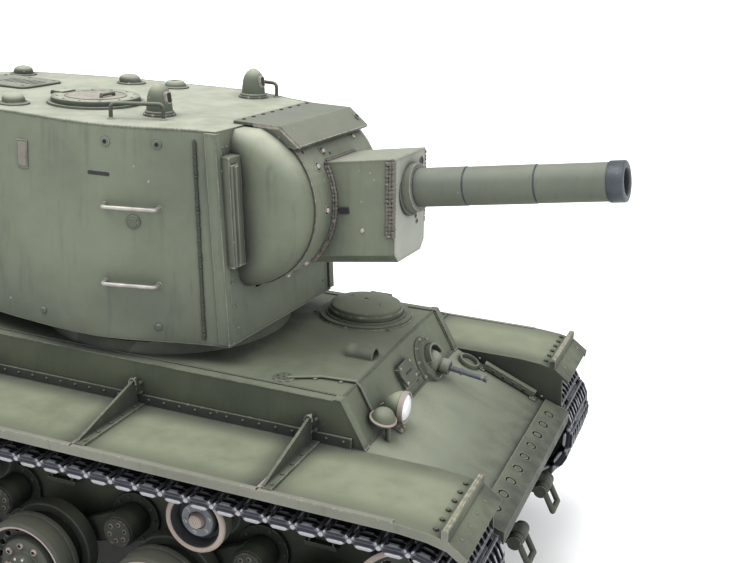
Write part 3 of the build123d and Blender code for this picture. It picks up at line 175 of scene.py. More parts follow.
def tube(bm, points, radius, count=12, material=0):
    """A round bar along a path, with its section carried along without twist."""
    points = [Vector(point) for point in points]
    tangents = []
    for i in range(len(points)):
        ahead = points[min(i + 1, len(points) - 1)]
        behind = points[max(i - 1, 0)]
        tangents.append((ahead - behind).normalized())
    u, _ = axes_of(tangents[0])
    rings = []
    for i, (point, tangent) in enumerate(zip(points, tangents)):
        u = (u - tangent * u.dot(tangent)).normalized()
        size = radius(i) if callable(radius) else radius
        rings.append(circle(point, u, tangent.cross(u), size, count))
    loft(bm, rings, material)


def inset(outline, distance):
    """An outline moved inwards; it runs counter-clockwise."""
    count = len(outline)
    result = []
    for i in range(count):
        a = Vector(outline[i - 1])
        b = Vector(outline[i])
        c = Vector(outline[(i + 1) % count])
        first = (b - a).normalized()
        second = (c - b).normalized()
        normal = Vector((-first.y - second.y, first.x + second.x))
        if normal.length < 1e-6:
            normal = Vector((-first.y, first.x))
        normal.normalize()
        scale = max(0.35, normal.dot(Vector((-first.y, first.x))))
        result.append(tuple(b + normal * distance / scale))
    return result


def area(outline):
    return sum(a[0] * b[1] - b[0] * a[1] for a, b in zip(outline, outline[1:] + outline[:1])) / 2


def prism(bm, outline, low, high, to_space, edge=0.25, material=0):
    """A plate: an outline raised from low to high, with a small chamfer all round."""
    if area(outline) < 0:
        outline = list(reversed(outline))
    small = inset(outline, edge)
    layers = [(small, low), (outline, low + edge), (outline, high - edge), (small, high)]
    rings = [[to_space(x, y, level) for x, y in shape] for shape, level in layers]
    return loft(bm, rings, material)


def flat(x, y, z):
    """Outline lies in plan, raised along Z."""
    return Vector((x, y, z))


def upright(x, z, y):
    """Outline lies in a side view, raised along Y."""
    return Vector((x, y, z))


def on_face(origin, normal, up=(0, 0, 1)):
    """Maps (right, up, out) to a face through origin with that outward normal."""
    origin = Vector(origin)
    normal = Vector(normal).normalized()
    up = Vector(up)
    up = (up - normal * up.dot(normal)).normalized()
    right = up.cross(normal)
    return lambda a, b, c: origin + right * a + up * b + normal * c


def brick(bm, low, high, edge=0.25, material=0):
    prism(bm, [(low[0], low[1]), (high[0], low[1]), (high[0], high[1]), (low[0], high[1])],
          low[2], high[2], flat, edge, material)


def hex_bolt(bm, base, normal, radius=0.9, height=0.8, material=0, turn=0.0):
    lathe(bm, base, normal, [(-0.3, radius), (height * 0.75, radius), (height, radius * 0.8)],
          6, material, turn)


def rivet(bm, base, normal, radius=0.8, height=0.5, material=0):
    lathe(bm, base, normal, [(-0.3, radius), (height * 0.35, radius * 0.95), (height * 0.8, radius * 0.65),
                             (height, radius * 0.2)], 10, material)


def socket(bm, base, normal, radius, lip=0.25, material=0, inside=1, count=16):
    """A hole in a raised rim: a ring of metal round a dark floor of painted shade, standing on a face."""
    lathe(bm, base, normal, [(-0.3, radius + lip), (0.22, radius + lip), (0.3, radius + lip * 0.6),
                             (0.3, radius), (0.04, radius * 0.96), (0.03, 0.02)],
          count, [material, material, material, inside, inside])


def bead(bm, points, radius, material=0, spacing=0.55):
    """A weld bead: an uneven line of small overlapping ripples along a path."""
    path = []
    for a, b in zip(points, points[1:]):
        a, b = Vector(a), Vector(b)
        steps = max(2, ceil((b - a).length / spacing))
        path += [a.lerp(b, k / steps) for k in range(steps)]
    path.append(Vector(points[-1]))
    jitter = [Vector((random.uniform(-1, 1), random.uniform(-1, 1), random.uniform(-1, 1))) for _ in path]
    path = [point + shake * radius * 0.13 for point, shake in zip(path, jitter)]
    sizes = [radius * (1.12 if i % 3 else 0.78) * random.uniform(0.86, 1.14) for i in range(len(path))]
    tube(bm, path, lambda i: sizes[i], 7, material)


def cast(node, origin, direction, place=TANK):
    """Where a ray meets a CAD node: point and normal in the local frame, in millimetres."""
    turn = place.to_3x3().normalized()
    start = place @ Vector(origin)
    found, point, normal, _ = NODES[node].ray_cast(start, turn @ Vector(direction).normalized())
    if not found:
        raise ValueError(f"nothing of {node} along {direction} from {origin}")
    return place.inverted() @ point, (turn.inverted() @ normal).normalized()


def piece(name, bm, body, materials, place=TANK, angle=32, replaces=()):
    """Finish a shape as an object that rides on a body."""
    bmesh.ops.recalc_face_normals(bm, faces=bm.faces[:])
    for face in bm.faces:
        face.smooth = True
    for edge in bm.edges:
        if len(edge.link_faces) == 2 and edge.calc_face_angle(0.0) > radians(angle):
            edge.smooth = False
    mesh = bpy.data.meshes.new(name)
    bm.to_mesh(mesh)
    bm.free()
    mesh.transform(place)
    for material in materials if isinstance(materials, (list, tuple)) else [materials]:
        mesh.materials.append(material)
    made = bpy.data.objects.new(name, mesh)
    bpy.context.scene.collection.objects.link(made)
    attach(made, body)
    if replaces:
        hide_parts(*replaces)
    return made


# ---- materials -------------------------------------------------------------------------
def new_material(name):
    material = bpy.data.materials.new(name)
    material.use_nodes = True
    tree = material.node_tree
    tree.nodes.clear()
    return material, tree


def node(tree, kind, inputs=None, **settings):
    """A shader node; inputs are constants or sockets of other nodes."""
    made = tree.nodes.new(kind)
    for key, value in settings.items():
        setattr(made, key, value)
    for key, value in (inputs or {}).items():
        if isinstance(value, bpy.types.NodeSocket):
            tree.links.new(value, made.inputs[key])
        else:
            made.inputs[key].default_value = value
    return made


def millimetres(tree, stretch=(1.0, 1.0, 1.0)):
    """Object coordinates in millimetres."""
    where = node(tree, "ShaderNodeTexCoord").outputs["Object"]
    scaled = [1000.0 * s for s in stretch]
    return node(tree, "ShaderNodeVectorMath", {0: where, 1: scaled}, operation="MULTIPLY").outputs[0]


def noise(tree, vector, scale, detail=3.0, rough=0.55):
    return node(tree, "ShaderNodeTexNoise", {"Vector": vector, "Scale": scale, "Detail": detail,
                                             "Roughness": rough}).outputs["Fac"]


def ramp(tree, value, low, high, start=0.0, end=1.0):
    """Smooth step of a value from low to high."""
    return node(tree, "ShaderNodeMapRange", {"Value": value, "From Min": low, "From Max": high,
                                             "To Min": start, "To Max": end},
                interpolation_type="SMOOTHSTEP").outputs["Result"]


def math(tree, operation, a, b):
    return node(tree, "ShaderNodeMath", {0: a, 1: b}, operation=operation).outputs[0]


def mix(tree, share, a, b):
    made = node(tree, "ShaderNodeMix", data_type="RGBA")
    for socket_, value in zip((made.inputs["Factor"], made.inputs[6], made.inputs[7]), (share, a, b)):
        if isinstance(value, bpy.types.NodeSocket):
            tree.links.new(value, socket_)
        else:
            socket_.default_value = value
    return made.outputs[2]


TONE = 0.77              # paints are held down, and the lights raised, so the floor stays white


def rgb(red, green, blue):
    return (red * TONE, green * TONE, blue * TONE, 1.0)


def corner_shade(tree, reach_mm):
    """1 deep in corners and beside fittings, 0 on open faces: the mask of painted shade and grime."""
    occlusion = node(tree, "ShaderNodeAmbientOcclusion", {"Distance": reach_mm * MM}, samples=6)
    return math(tree, "SUBTRACT", 1.0, occlusion.outputs["AO"])


def sharp_edge(tree, reach_mm):
    """1 along outward edges, 0 on open faces."""
    inside = node(tree, "ShaderNodeAmbientOcclusion", {"Distance": reach_mm * MM}, samples=6,
                  inside=True, only_local=True)
    return math(tree, "SUBTRACT", 1.0, inside.outputs["AO"])


def surface(tree, colour, roughness, bump_height, bump_mm=0.05, metallic=0.0, strength=0.6, specular=0.5):
    bump = node(tree, "ShaderNodeBump", {"Height": bump_height, "Distance": bump_mm * MM,
                                         "Strength": strength})
    shader = node(tree, "ShaderNodeBsdfPrincipled", {
        "Base Color": colour, "Roughness": roughness, "Normal": bump.outputs[0]})
    if isinstance(metallic, bpy.types.NodeSocket):
        tree.links.new(metallic, shader.inputs["Metallic"])
    else:
        shader.inputs["Metallic"].default_value = metallic
    shader.inputs["Specular IOR Level"].default_value = specular
    output = node(tree, "ShaderNodeOutputMaterial")
    tree.links.new(shader.outputs[0], output.inputs["Surface"])
    return shader


def panel_shade(tree, mm, joint_x, pitch, reach):
    """1 at joints that repeat along X, 0 further than reach from them, in millimetres."""
    x = node(tree, "ShaderNodeSeparateXYZ", {0: mm}).outputs["X"]
    turns = math(tree, "FRACT", math(tree, "MULTIPLY", math(tree, "SUBTRACT", x, joint_x), 1.0 / pitch), 0.0)
    from_joint = math(tree, "MINIMUM", turns, math(tree, "SUBTRACT", 1.0, turns))
    return ramp(tree, from_joint, 0.0, reach / pitch, 1.0, 0.0)


def paint(name, dark, light, dust_and_lit_tone, grime_and_shade, worn, dust_and_top_light=0.75, grime_and_shade_amount=1.0, wear=1.0, rough=0.66,
          panels=None, low=None, across=None, flecks=0.805, shade_mm=2.2):
    """Matte paint: mottled, dusty and lighter on top (dust and painted light), dark in corners (grime and
    painted shade), lighter and chipped on edges.
    """
    material, tree = new_material(name)
    mm = millimetres(tree)
    cloud = noise(tree, mm, 0.022, 4.0)
    patch = noise(tree, mm, 0.11, 5.0, 0.6)
    grain = noise(tree, mm, 1.1, 3.0)
    speck = noise(tree, mm, 0.62, 2.0, 0.5)
    streak = noise(tree, millimetres(tree, (0.34, 0.34, 0.035)), 1.0, 4.0)
    upward = node(tree, "ShaderNodeSeparateXYZ",
                  {0: node(tree, "ShaderNodeNewGeometry").outputs["Normal"]}).outputs["Z"]

    colour = mix(tree, ramp(tree, cloud, 0.34, 0.66), dark, light)
    tone = ramp(tree, streak, 0.52, 0.78, 0.0, 0.22)
    colour = mix(tree, tone, colour, grime_and_shade)
    # Dust and painted light: upward faces are lighter.
    top = math(tree, "MULTIPLY", ramp(tree, upward, 0.25, 0.95), ramp(tree, patch, 0.22, 0.7, 0.55, 1.0))
    colour = mix(tree, math(tree, "MULTIPLY", top, dust_and_top_light), colour, dust_and_lit_tone)
    if panels:
        shade = math(tree, "MULTIPLY", panel_shade(tree, mm, *panels), ramp(tree, patch, 0.2, 0.7, 0.35,
                                                                            0.75))
        colour = mix(tree, shade, colour, grime_and_shade)
    if across:
        y = math(tree, "ABSOLUTE", node(tree, "ShaderNodeSeparateXYZ", {0: mm}).outputs["Y"], 0.0)
        inner, outer, reach = across
        rim = math(tree, "ADD", ramp(tree, y, inner, inner + reach, 0.7, 0.0), ramp(tree, y, outer - reach,
                                                                                    outer, 0.0, 0.55))
        colour = mix(tree, math(tree, "MULTIPLY", rim, ramp(tree, patch, 0.2, 0.7, 0.5, 0.9)), colour, grime_and_shade)
    # Painted shade: darker towards the bottom, fading out between low[0] and low[1] millimetres.
    if low:
        height = node(tree, "ShaderNodeSeparateXYZ", {0: mm}).outputs["Z"]
        colour = mix(tree, ramp(tree, height, low[0], low[1], low[2], 0.0), colour, grime_and_shade)
    # Grime and painted shade: darker in corners and beside fittings, by ambient occlusion.
    wide = ramp(tree, corner_shade(tree, 13.0), 0.08, 0.55)
    close = ramp(tree, corner_shade(tree, 2.8), 0.14, 0.58)
    corner_grime_and_shade = math(tree, "MAXIMUM", math(tree, "MULTIPLY", wide, 0.72), close)
    corner_grime_and_shade = math(tree, "MULTIPLY", corner_grime_and_shade, ramp(tree, patch, 0.18, 0.62, 0.7, 1.0))
    colour = mix(tree, math(tree, "MULTIPLY", corner_grime_and_shade, grime_and_shade_amount), colour, grime_and_shade)
    if shade_mm:
        shoulder = ramp(tree, sharp_edge(tree, shade_mm), 0.12, 0.5, 0.0, 0.4)
        colour = mix(tree, shoulder, colour, grime_and_shade)
    edge = sharp_edge(tree, 0.7)
    pale = math(tree, "MULTIPLY", ramp(tree, edge, 0.12, 0.5), ramp(tree, patch, 0.36, 0.6, 0.1, 0.7))
    colour = mix(tree, math(tree, "MULTIPLY", pale, 0.75 * wear), colour, dust_and_lit_tone)
    chip = ramp(tree, math(tree, "ADD", math(tree, "MULTIPLY", edge, 0.55 * wear), speck), 0.845, 0.875)
    colour = mix(tree, math(tree, "MULTIPLY", chip, 0.8), colour, worn)
    fleck = ramp(tree, noise(tree, mm, 0.4, 1.0, 0.3), flecks, flecks + 0.025, 0.0, 0.55)
    colour = mix(tree, fleck, colour, dust_and_lit_tone)

    roughness = ramp(tree, patch, 0.2, 0.8, rough - 0.08, rough + 0.14)
    height = math(tree, "ADD", grain, math(tree, "MULTIPLY", patch, 0.8))
    surface(tree, colour, roughness, height, 0.06, specular=0.35)
    return material


def worn_metal(name, base, bright, grime_and_shade_colour, edge_reach=0.7, rough=0.42, shine=0.75, grime_and_shade_share=0.8):
    """Dark cast or blued metal, polished pale along its edges, darkened in its corners by grime and painted
    shade.
    """
    material, tree = new_material(name)
    mm = millimetres(tree)
    patch = noise(tree, mm, 0.16, 5.0, 0.6)
    grain = noise(tree, mm, 1.5, 3.0)
    colour = mix(tree, ramp(tree, patch, 0.3, 0.7), base, [c * 1.5 for c in base[:3]] + [1.0])
    # Grime and painted shade: darker in corners, by ambient occlusion.
    grime_and_shade_amount = math(tree, "MULTIPLY", ramp(tree, corner_shade(tree, 3.0), 0.2, 0.75), grime_and_shade_share)
    colour = mix(tree, grime_and_shade_amount, colour, grime_and_shade_colour)
    edge = ramp(tree, math(tree, "ADD", sharp_edge(tree, edge_reach),
                           math(tree, "MULTIPLY", grain, 0.25)), 0.3, 0.62)
    colour = mix(tree, math(tree, "MULTIPLY", edge, 0.85), colour, bright)
    roughness = ramp(tree, grain, 0.25, 0.75, rough - 0.06, rough + 0.16)
    surface(tree, colour, roughness, grain, 0.05, shine, specular=0.5)
    return material


def plain(name, first, second, rough=0.5, metallic=0.0, scale=0.3, bump_mm=0.03, coat=0.0):
    """Two close tones in fine noise, for small parts: wires, plastic, rubber, bare metal."""
    material, tree = new_material(name)
    mm = millimetres(tree)
    blend = noise(tree, mm, scale, 4.0)
    fine = noise(tree, mm, 2.0, 2.0)
    colour = mix(tree, ramp(tree, blend, 0.3, 0.7), first, second)
    shader = surface(tree, colour, ramp(tree, fine, 0.3, 0.7, rough - 0.05, rough + 0.08), fine, bump_mm,
                     metallic)
    shader.inputs["Coat Weight"].default_value = coat
    return material


# Dark colour for grime, streaks and pre-shading, and for painted shade in corners and low on the turret.
GRIME_AND_SHADE = rgb(0.022, 0.025, 0.024)
ARMOUR = paint("armour_paint", rgb(0.105, 0.128, 0.082), rgb(0.150, 0.178, 0.112),
               rgb(0.330, 0.355, 0.255), GRIME_AND_SHADE, rgb(0.42, 0.335, 0.29))
# The turret's lower wall is darkened through low: painted shade.
TURRET_PAINT = paint("turret_paint", rgb(0.108, 0.126, 0.092), rgb(0.146, 0.166, 0.116),
                     rgb(0.420, 0.435, 0.345), GRIME_AND_SHADE, rgb(0.40, 0.33, 0.29), dust_and_top_light=0.92, wear=0.8,
                     low=(108.0, 150.0, 0.28))
ROOF_PAINT = paint("hull_roof_paint", rgb(0.082, 0.098, 0.066), rgb(0.118, 0.138, 0.092),
                   rgb(0.260, 0.280, 0.205), GRIME_AND_SHADE, rgb(0.42, 0.335, 0.29), dust_and_top_light=0.35)
FENDER_PAINT = paint("fender_paint", rgb(0.092, 0.107, 0.068), rgb(0.124, 0.142, 0.089),
                     rgb(0.280, 0.302, 0.210), GRIME_AND_SHADE, rgb(0.42, 0.34, 0.29), dust_and_top_light=0.6,
                     panels=(129.48, 75.3, 13.0), across=(58.0, 98.5, 13.0), shade_mm=0)
GLACIS_PAINT = paint("lower_armour_paint", rgb(0.100, 0.120, 0.080), rgb(0.142, 0.166, 0.110),
                     rgb(0.310, 0.335, 0.250), GRIME_AND_SHADE, rgb(0.42, 0.335, 0.29), dust_and_top_light=0.62,
                     panels=(EDGE + 57.0, 480.0, 42.0))
MANTLET_PAINT = paint("mantlet_paint", rgb(0.130, 0.150, 0.110), rgb(0.178, 0.198, 0.142),
                      rgb(0.340, 0.350, 0.280), GRIME_AND_SHADE, rgb(0.42, 0.34, 0.30), dust_and_top_light=0.7, wear=1.3,
                      flecks=0.775)
# A lighter copy of the mantlet paint for the front face of the gun's box: painted light.
LIT_BOX_FACE = paint("gun_box_face_lit", rgb(0.290, 0.305, 0.262), rgb(0.345, 0.358, 0.312),
                 rgb(0.42, 0.43, 0.38), GRIME_AND_SHADE, rgb(0.50, 0.42, 0.37), wear=1.2)
BARREL_PAINT = paint("barrel_paint", rgb(0.092, 0.106, 0.082), rgb(0.122, 0.138, 0.104),
                     rgb(0.270, 0.285, 0.235), GRIME_AND_SHADE, rgb(0.38, 0.32, 0.29), dust_and_top_light=0.5, wear=0.7)
WELD = paint("rough_weld", rgb(0.085, 0.080, 0.066), rgb(0.170, 0.150, 0.128), rgb(0.30, 0.265, 0.235),
             rgb(0.03, 0.029, 0.026), rgb(0.42, 0.35, 0.32), dust_and_top_light=0.3, wear=0.6, shade_mm=0)
# A darker copy of the green for sideways faces and parts under the fenders: dark paint and painted shade.
DARK_SHADED_PAINT = paint("dark_shaded_paint", rgb(0.040, 0.050, 0.032), rgb(0.062, 0.074, 0.046),
                    rgb(0.16, 0.17, 0.125), rgb(0.010, 0.012, 0.014), rgb(0.20, 0.18, 0.15), dust_and_top_light=0.3)
LIP_PAINT = paint("lip_paint", rgb(0.125, 0.130, 0.102), rgb(0.170, 0.172, 0.138),
                  rgb(0.27, 0.265, 0.22), GRIME_AND_SHADE, rgb(0.44, 0.36, 0.32), dust_and_top_light=0.4, wear=0.8, shade_mm=0)
BOLT_PAINT = paint("bolt_paint", rgb(0.055, 0.064, 0.048), rgb(0.088, 0.100, 0.072),
                   rgb(0.17, 0.18, 0.14), rgb(0.014, 0.016, 0.015), rgb(0.34, 0.28, 0.24), dust_and_top_light=0.3,
                   wear=0.2, shade_mm=0)
ROUND_PAINT = paint("small_part_paint", rgb(0.090, 0.104, 0.074), rgb(0.125, 0.142, 0.098),
                    rgb(0.28, 0.295, 0.22), GRIME_AND_SHADE, rgb(0.42, 0.34, 0.30), dust_and_top_light=0.5, wear=0.35, shade_mm=0)
# Darkened for the shade under the fenders: painted shade on the running gear.
SHADED_WHEEL_PAINT = paint("wheel_paint", rgb(0.028, 0.034, 0.025), rgb(0.056, 0.062, 0.046),
                    rgb(0.17, 0.165, 0.13), rgb(0.008, 0.010, 0.010), rgb(0.40, 0.32, 0.28),
                    dust_and_top_light=0.25, wear=1.3)
CHIPPED = paint("chipped_paint", rgb(0.22, 0.180, 0.155), rgb(0.33, 0.265, 0.235), rgb(0.46, 0.39, 0.35),
                rgb(0.10, 0.09, 0.07), rgb(0.60, 0.52, 0.47), dust_and_top_light=0.3, grime_and_shade_amount=0.6, shade_mm=0)
WORN_BAND = paint("worn_rim", rgb(0.27, 0.215, 0.185), rgb(0.36, 0.30, 0.26), rgb(0.42, 0.36, 0.31),
                  rgb(0.05, 0.045, 0.04), rgb(0.55, 0.46, 0.41), dust_and_top_light=0.2, grime_and_shade_amount=0.7, shade_mm=0)
TRACK = worn_metal("track_metal", rgb(0.018, 0.020, 0.026), rgb(0.13, 0.135, 0.155), rgb(0.003, 0.003, 0.005))
TRACK_EDGE = worn_metal("track_worn_edge", rgb(0.045, 0.048, 0.058), rgb(0.40, 0.40, 0.42),
                        rgb(0.006, 0.007, 0.010), 0.7, 0.45, 0.55, 0.9)
GUN_METAL = worn_metal("gun_metal", rgb(0.040, 0.048, 0.056), rgb(0.16, 0.17, 0.18), rgb(0.012, 0.013, 0.016),
                       0.5, 0.46, 0.35)
HUB_METAL = worn_metal("hub_metal", rgb(0.085, 0.095, 0.105), rgb(0.34, 0.33, 0.31), rgb(0.010, 0.011, 0.014),
                       0.7, 0.5, 0.4)
BARE_STEEL = worn_metal("bare_steel", rgb(0.30, 0.29, 0.26), rgb(0.62, 0.60, 0.55), rgb(0.03, 0.03, 0.028),
                        0.7, 0.45, 0.55, 0.9)
# Black for the floors of holes, slots, windows and the bore: painted shade.
SHADE_BLACK = plain("painted_shade_black", rgb(0.004, 0.005, 0.008), rgb(0.010, 0.011, 0.015), 0.7)
LENS = plain("lens_white", rgb(0.80, 0.83, 0.88), rgb(0.90, 0.91, 0.92), 0.16, scale=0.12, bump_mm=0.01,
             coat=0.6)
BOARD = plain("circuit_board", rgb(0.01, 0.11, 0.045), rgb(0.02, 0.16, 0.07), 0.4)
WRAP = plain("battery_wrap", rgb(0.02, 0.07, 0.30), rgb(0.03, 0.10, 0.38), 0.25, coat=0.3)
NYLON = plain("gear_nylon", rgb(0.62, 0.60, 0.52), rgb(0.72, 0.70, 0.62), 0.45)
PLASTIC = plain("black_plastic", rgb(0.012, 0.012, 0.014), rgb(0.022, 0.022, 0.024), 0.5)
CASE = plain("servo_case", rgb(0.02, 0.02, 0.025), rgb(0.035, 0.035, 0.04), 0.38)


def camera_and_light():
    """Camera at the picture's angle, a soft key from above, a pale floor under white light."""
    scene = bpy.context.scene
    scene.view_settings.view_transform = "Standard"
    azimuth, elevation, roll = radians(20.63), radians(18.21), radians(2.35)
    back = Vector((sin(azimuth) * cos(elevation), -cos(azimuth) * cos(elevation), sin(elevation)))
    data = bpy.data.cameras.new("camera")
    data.sensor_width = 36.0
    data.lens = 51.76
    data.clip_start = 0.01
    data.clip_end = 50.0
    camera = bpy.data.objects.new("camera", data)
    camera.rotation_mode = "QUATERNION"
    level = (-back).to_track_quat("-Z", "Y")
    camera.rotation_quaternion = level @ Matrix.Rotation(roll, 4, "Z").to_quaternion()
    camera.location = (0.27814, -0.3885, 0.2697)
    scene.collection.objects.link(camera)
    scene.camera = camera

    world = bpy.data.worlds.new("studio")
    world.use_nodes = True
    tree = world.node_tree
    height = node(tree, "ShaderNodeSeparateXYZ",
                  {0: node(tree, "ShaderNodeTexCoord").outputs["Generated"]}).outputs["Z"]
    sky = mix(tree, ramp(tree, height, -0.1, 0.8), rgb(0.86, 0.88, 0.90), rgb(1.3, 1.3, 1.3))
    tree.links.new(sky, tree.nodes["Background"].inputs["Color"])
    tree.nodes["Background"].inputs["Strength"].default_value = 1.12
    scene.world = world

    for name, spot, energy, angle in (("key", (-0.30, -0.30, 1.0), 3.1, 44), ("fill", (1.0, -0.35, 0.45), 1.5,
                                                                              50)):
        light = bpy.data.lights.new(name, "SUN")
        light.energy = energy
        light.angle = radians(angle)
        lamp = bpy.data.objects.new(name, light)
        lamp.rotation_mode = "QUATERNION"
        lamp.rotation_quaternion = Vector(spot).to_track_quat("Z", "Y")
        scene.collection.objects.link(lamp)

    floor_mesh = bpy.data.meshes.new("floor")
    half = 6.0
    floor_mesh.from_pydata([(-half, -half, 0), (half, -half, 0), (half, half, 0), (-half, half, 0)], [],
                           [(0, 1, 2, 3)])
    floor_mesh.materials.append(plain("floor", rgb(1.14, 1.15, 1.16), rgb(1.16, 1.165, 1.17), 0.75,
                                      scale=0.02, bump_mm=0.0))
    floor = bpy.data.objects.new("floor", floor_mesh)
    scene.collection.objects.link(floor)


camera_and_light()


# ---- CAD nodes that stay ---------------------------------------------------------------
def dress(name, material, bevel_mm=0.0):
    """Give a CAD node its finish and, where it is sheet or plate, softly broken edges."""
    obj = NODES[name]
    obj.data.materials.clear()
    obj.data.materials.append(material)
    weld = obj.modifiers.new("weld", "WELD")
    weld.merge_threshold = 2e-6
    if bevel_mm:
        bevel = obj.modifiers.new("bevel", "BEVEL")
        bevel.width = bevel_mm * MM
        bevel.segments = 2
        bevel.limit_method = "ANGLE"
        bevel.angle_limit = radians(40)
        bevel.use_clamp_overlap = True
        bevel.harden_normals = False


def recolour(name, material, wanted):
    """Give a second finish to the faces whose middle (mm) and normal are wanted."""
    mesh = NODES[name].data
    mesh.materials.append(material)
    slot = len(mesh.materials) - 1
    for face in mesh.polygons:
        if wanted(face.center / MM, face.normal):
            face.material_index = slot


def dress_cad_nodes():
    finishes = {
        "hull_lower": (GLACIS_PAINT, 0.35), "hull_upper": (ROOF_PAINT, 0.3), "fenders": (FENDER_PAINT, 0.2),
        "fender_brackets": (FENDER_PAINT, 0.15), "nose_strip": (FENDER_PAINT, 0.3),
        "tow_shackles": (DARK_SHADED_PAINT, 0.2), "suspension_housings": (DARK_SHADED_PAINT, 0.25),
        "engine_deck": (ARMOUR, 0.3), "turret_shell": (TURRET_PAINT, 0.3),
        "turret_base": (TURRET_PAINT, 0.0), "turret_hatch": (TURRET_PAINT, 0.25),
        "turret_door": (TURRET_PAINT, 0.25), "mantlet": (MANTLET_PAINT, 0.35),
        "hull_hatch": (ROOF_PAINT, 0.25), "hull_screws": (BARE_STEEL, 0.0), "battery": (WRAP, 0.6),
        "receiver_and_speaker": (BOARD, 0.0), "drive_units": (PLASTIC, 0.3),
        "elevation_servo": (CASE, 0.3), "slew_pinion": (NYLON, 0.0),
    }
    for name, (material, bevel_mm) in finishes.items():
        dress(name, material, bevel_mm)
    aim = gun_line.normalized()
    muzzle_side = max((Vector(v.co) / MM for v in NODES["mantlet"].data.vertices), key=aim.dot)
    # Sideways faces of the hull and the fenders' inner strip take the darker copy: painted shade.
    recolour("hull_upper", DARK_SHADED_PAINT, lambda at, out: abs(out.y) > 0.8 and abs(at.y) > 51.0)
    recolour("hull_lower", DARK_SHADED_PAINT, lambda at, out: abs(out.y) > 0.8 and abs(at.y) > 55.0)
    recolour("fenders", LIP_PAINT, lambda at, out: abs(out.y) > 0.7 and abs(at.y) > 98.5)
    recolour("fenders", DARK_SHADED_PAINT, lambda at, out: abs(out.y) > 0.7 and abs(at.y) < 61.0)
    # The box's front face takes the lighter copy: painted light.
    recolour("mantlet", LIT_BOX_FACE, lambda at, out: out.dot(aim) > 0.55 and (at - muzzle_side).dot(aim) > -25.0)


dress_cad_nodes()


# ---- wheels ----------------------------------------------------------------------------
def wheel_mesh(name, draw, materials, side):
    """A wheel about the Y axis with its outer face towards +Y, or -Y on the right side."""
    bm = bmesh.new()
    draw(bm)
    bmesh.ops.recalc_face_normals(bm, faces=bm.faces[:])
    for face in bm.faces:
        face.smooth = True
    for edge in bm.edges:
        if len(edge.link_faces) == 2 and edge.calc_face_angle(0.0) > radians(32):
            edge.smooth = False
    mesh = bpy.data.meshes.new(f"{name}_{side}")
    bm.to_mesh(mesh)
    bm.free()
    mesh.transform(Matrix.Diagonal((MM, MM * SIDES[side], MM, 1)))
    if SIDES[side] < 0:
        mesh.flip_normals()
    for material in materials:
        mesh.materials.append(material)
    return mesh


def cut_holes(mesh, name, centre_radius, count, size, start=0.0):
    """Oval pockets bored into a wheel's face, by a boolean that is applied at once."""
    bm = bmesh.new()
    radial, tangent = size[0], size[1]
    y0, y1 = size[2], size[3]
    for i in range(count):
        angle = start + 2 * pi * i / count
        along = Vector((cos(angle), 0, sin(angle)))
        aside = Vector((-sin(angle), 0, cos(angle)))
        rings = []
        for y in (y0, y1):
            centre = along * centre_radius + Vector((0, y, 0))
            rings.append([(centre + along * radial * cos(t) + aside * tangent * sin(t)) * MM
                          for t in (2 * pi * k / 14 for k in range(14))])
        loft(bm, rings)
    bmesh.ops.recalc_face_normals(bm, faces=bm.faces[:])
    cutter_mesh = bpy.data.meshes.new("cutter")
    bm.to_mesh(cutter_mesh)
    bm.free()
    cutter = bpy.data.objects.new("cutter", cutter_mesh)
    target = bpy.data.objects.new("target", mesh)
    bpy.context.scene.collection.objects.link(cutter)
    bpy.context.scene.collection.objects.link(target)
    boolean = target.modifiers.new("holes", "BOOLEAN")
    boolean.operation = "DIFFERENCE"
    boolean.object = cutter
    boolean.solver = "EXACT"
    bpy.context.view_layer.update()
    result = bpy.data.meshes.new_from_object(target.evaluated_get(bpy.context.evaluated_depsgraph_get()))
    result.name = name
    bpy.data.objects.remove(cutter)
    bpy.data.objects.remove(target)
    return result


def set_wheel(name, mesh, node_name, body):
    centre = middle(node_name)
    made = bpy.data.objects.new(name, mesh)
    bpy.context.scene.collection.objects.link(made)
    made.location = (centre.x * MM, 0.0, centre.z * MM)
    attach(made, body)
    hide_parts(node_name)


def ring_of(count, radius, start=0.0):
    return [(radius * cos(start + 2 * pi * i / count), radius * sin(start + 2 * pi * i / count))
            for i in range(count)]


OUT = Vector((0, 1, 0))


def draw_road_wheel(bm):
    """Twin steel rims with a groove between them; dished face, bosses and a bolted cap."""
    rim = (top_of("road_wheel_right_1").z - low_of("road_wheel_right_1").z) / 2
    inner = [(67.0, 2.6), (67.0, 6.0), (69.5, 7.0), (69.5, 15.2), (68.4, 15.8), (68.2, rim - 0.5),
             (68.7, rim), (74.4, rim), (75.0, rim - 0.5), (75.0, 16.0), (74.2, 15.4), (72.0, 14.6),
             (72.0, 9.0),
             (84.0, 9.0), (84.0, 14.6), (81.8, 15.4), (81.0, 16.0), (81.0, rim - 0.5), (81.5, rim)]
    outer = [(83.4, rim), (83.8, rim - 0.55), (84.9, rim - 0.55), (85.3, rim), (90.9, rim),
             (91.7, rim - 0.35),
             (92.2, rim - 1.0), (92.2, rim - 1.35)]
    band = [(92.0, rim - 2.3), (91.4, rim - 2.6)]
    face = [(89.0, rim - 3.1), (87.6, rim - 3.7), (87.1, 15.0), (86.9, 13.2), (87.4, 12.3), (89.2, 11.7),
            (90.1, 11.2), (90.4, 10.4), (90.4, 6.6), (90.8, 6.1), (92.4, 5.7), (93.2, 5.2), (93.5, 4.4),
            (93.5, 0.0)]
    materials = [0] * (len(inner) + len(outer) - 1) + [1] * len(band) + [0] * len(face)
    lathe(bm, (0, 0, 0), OUT, inner + outer + band + face, 72, materials)


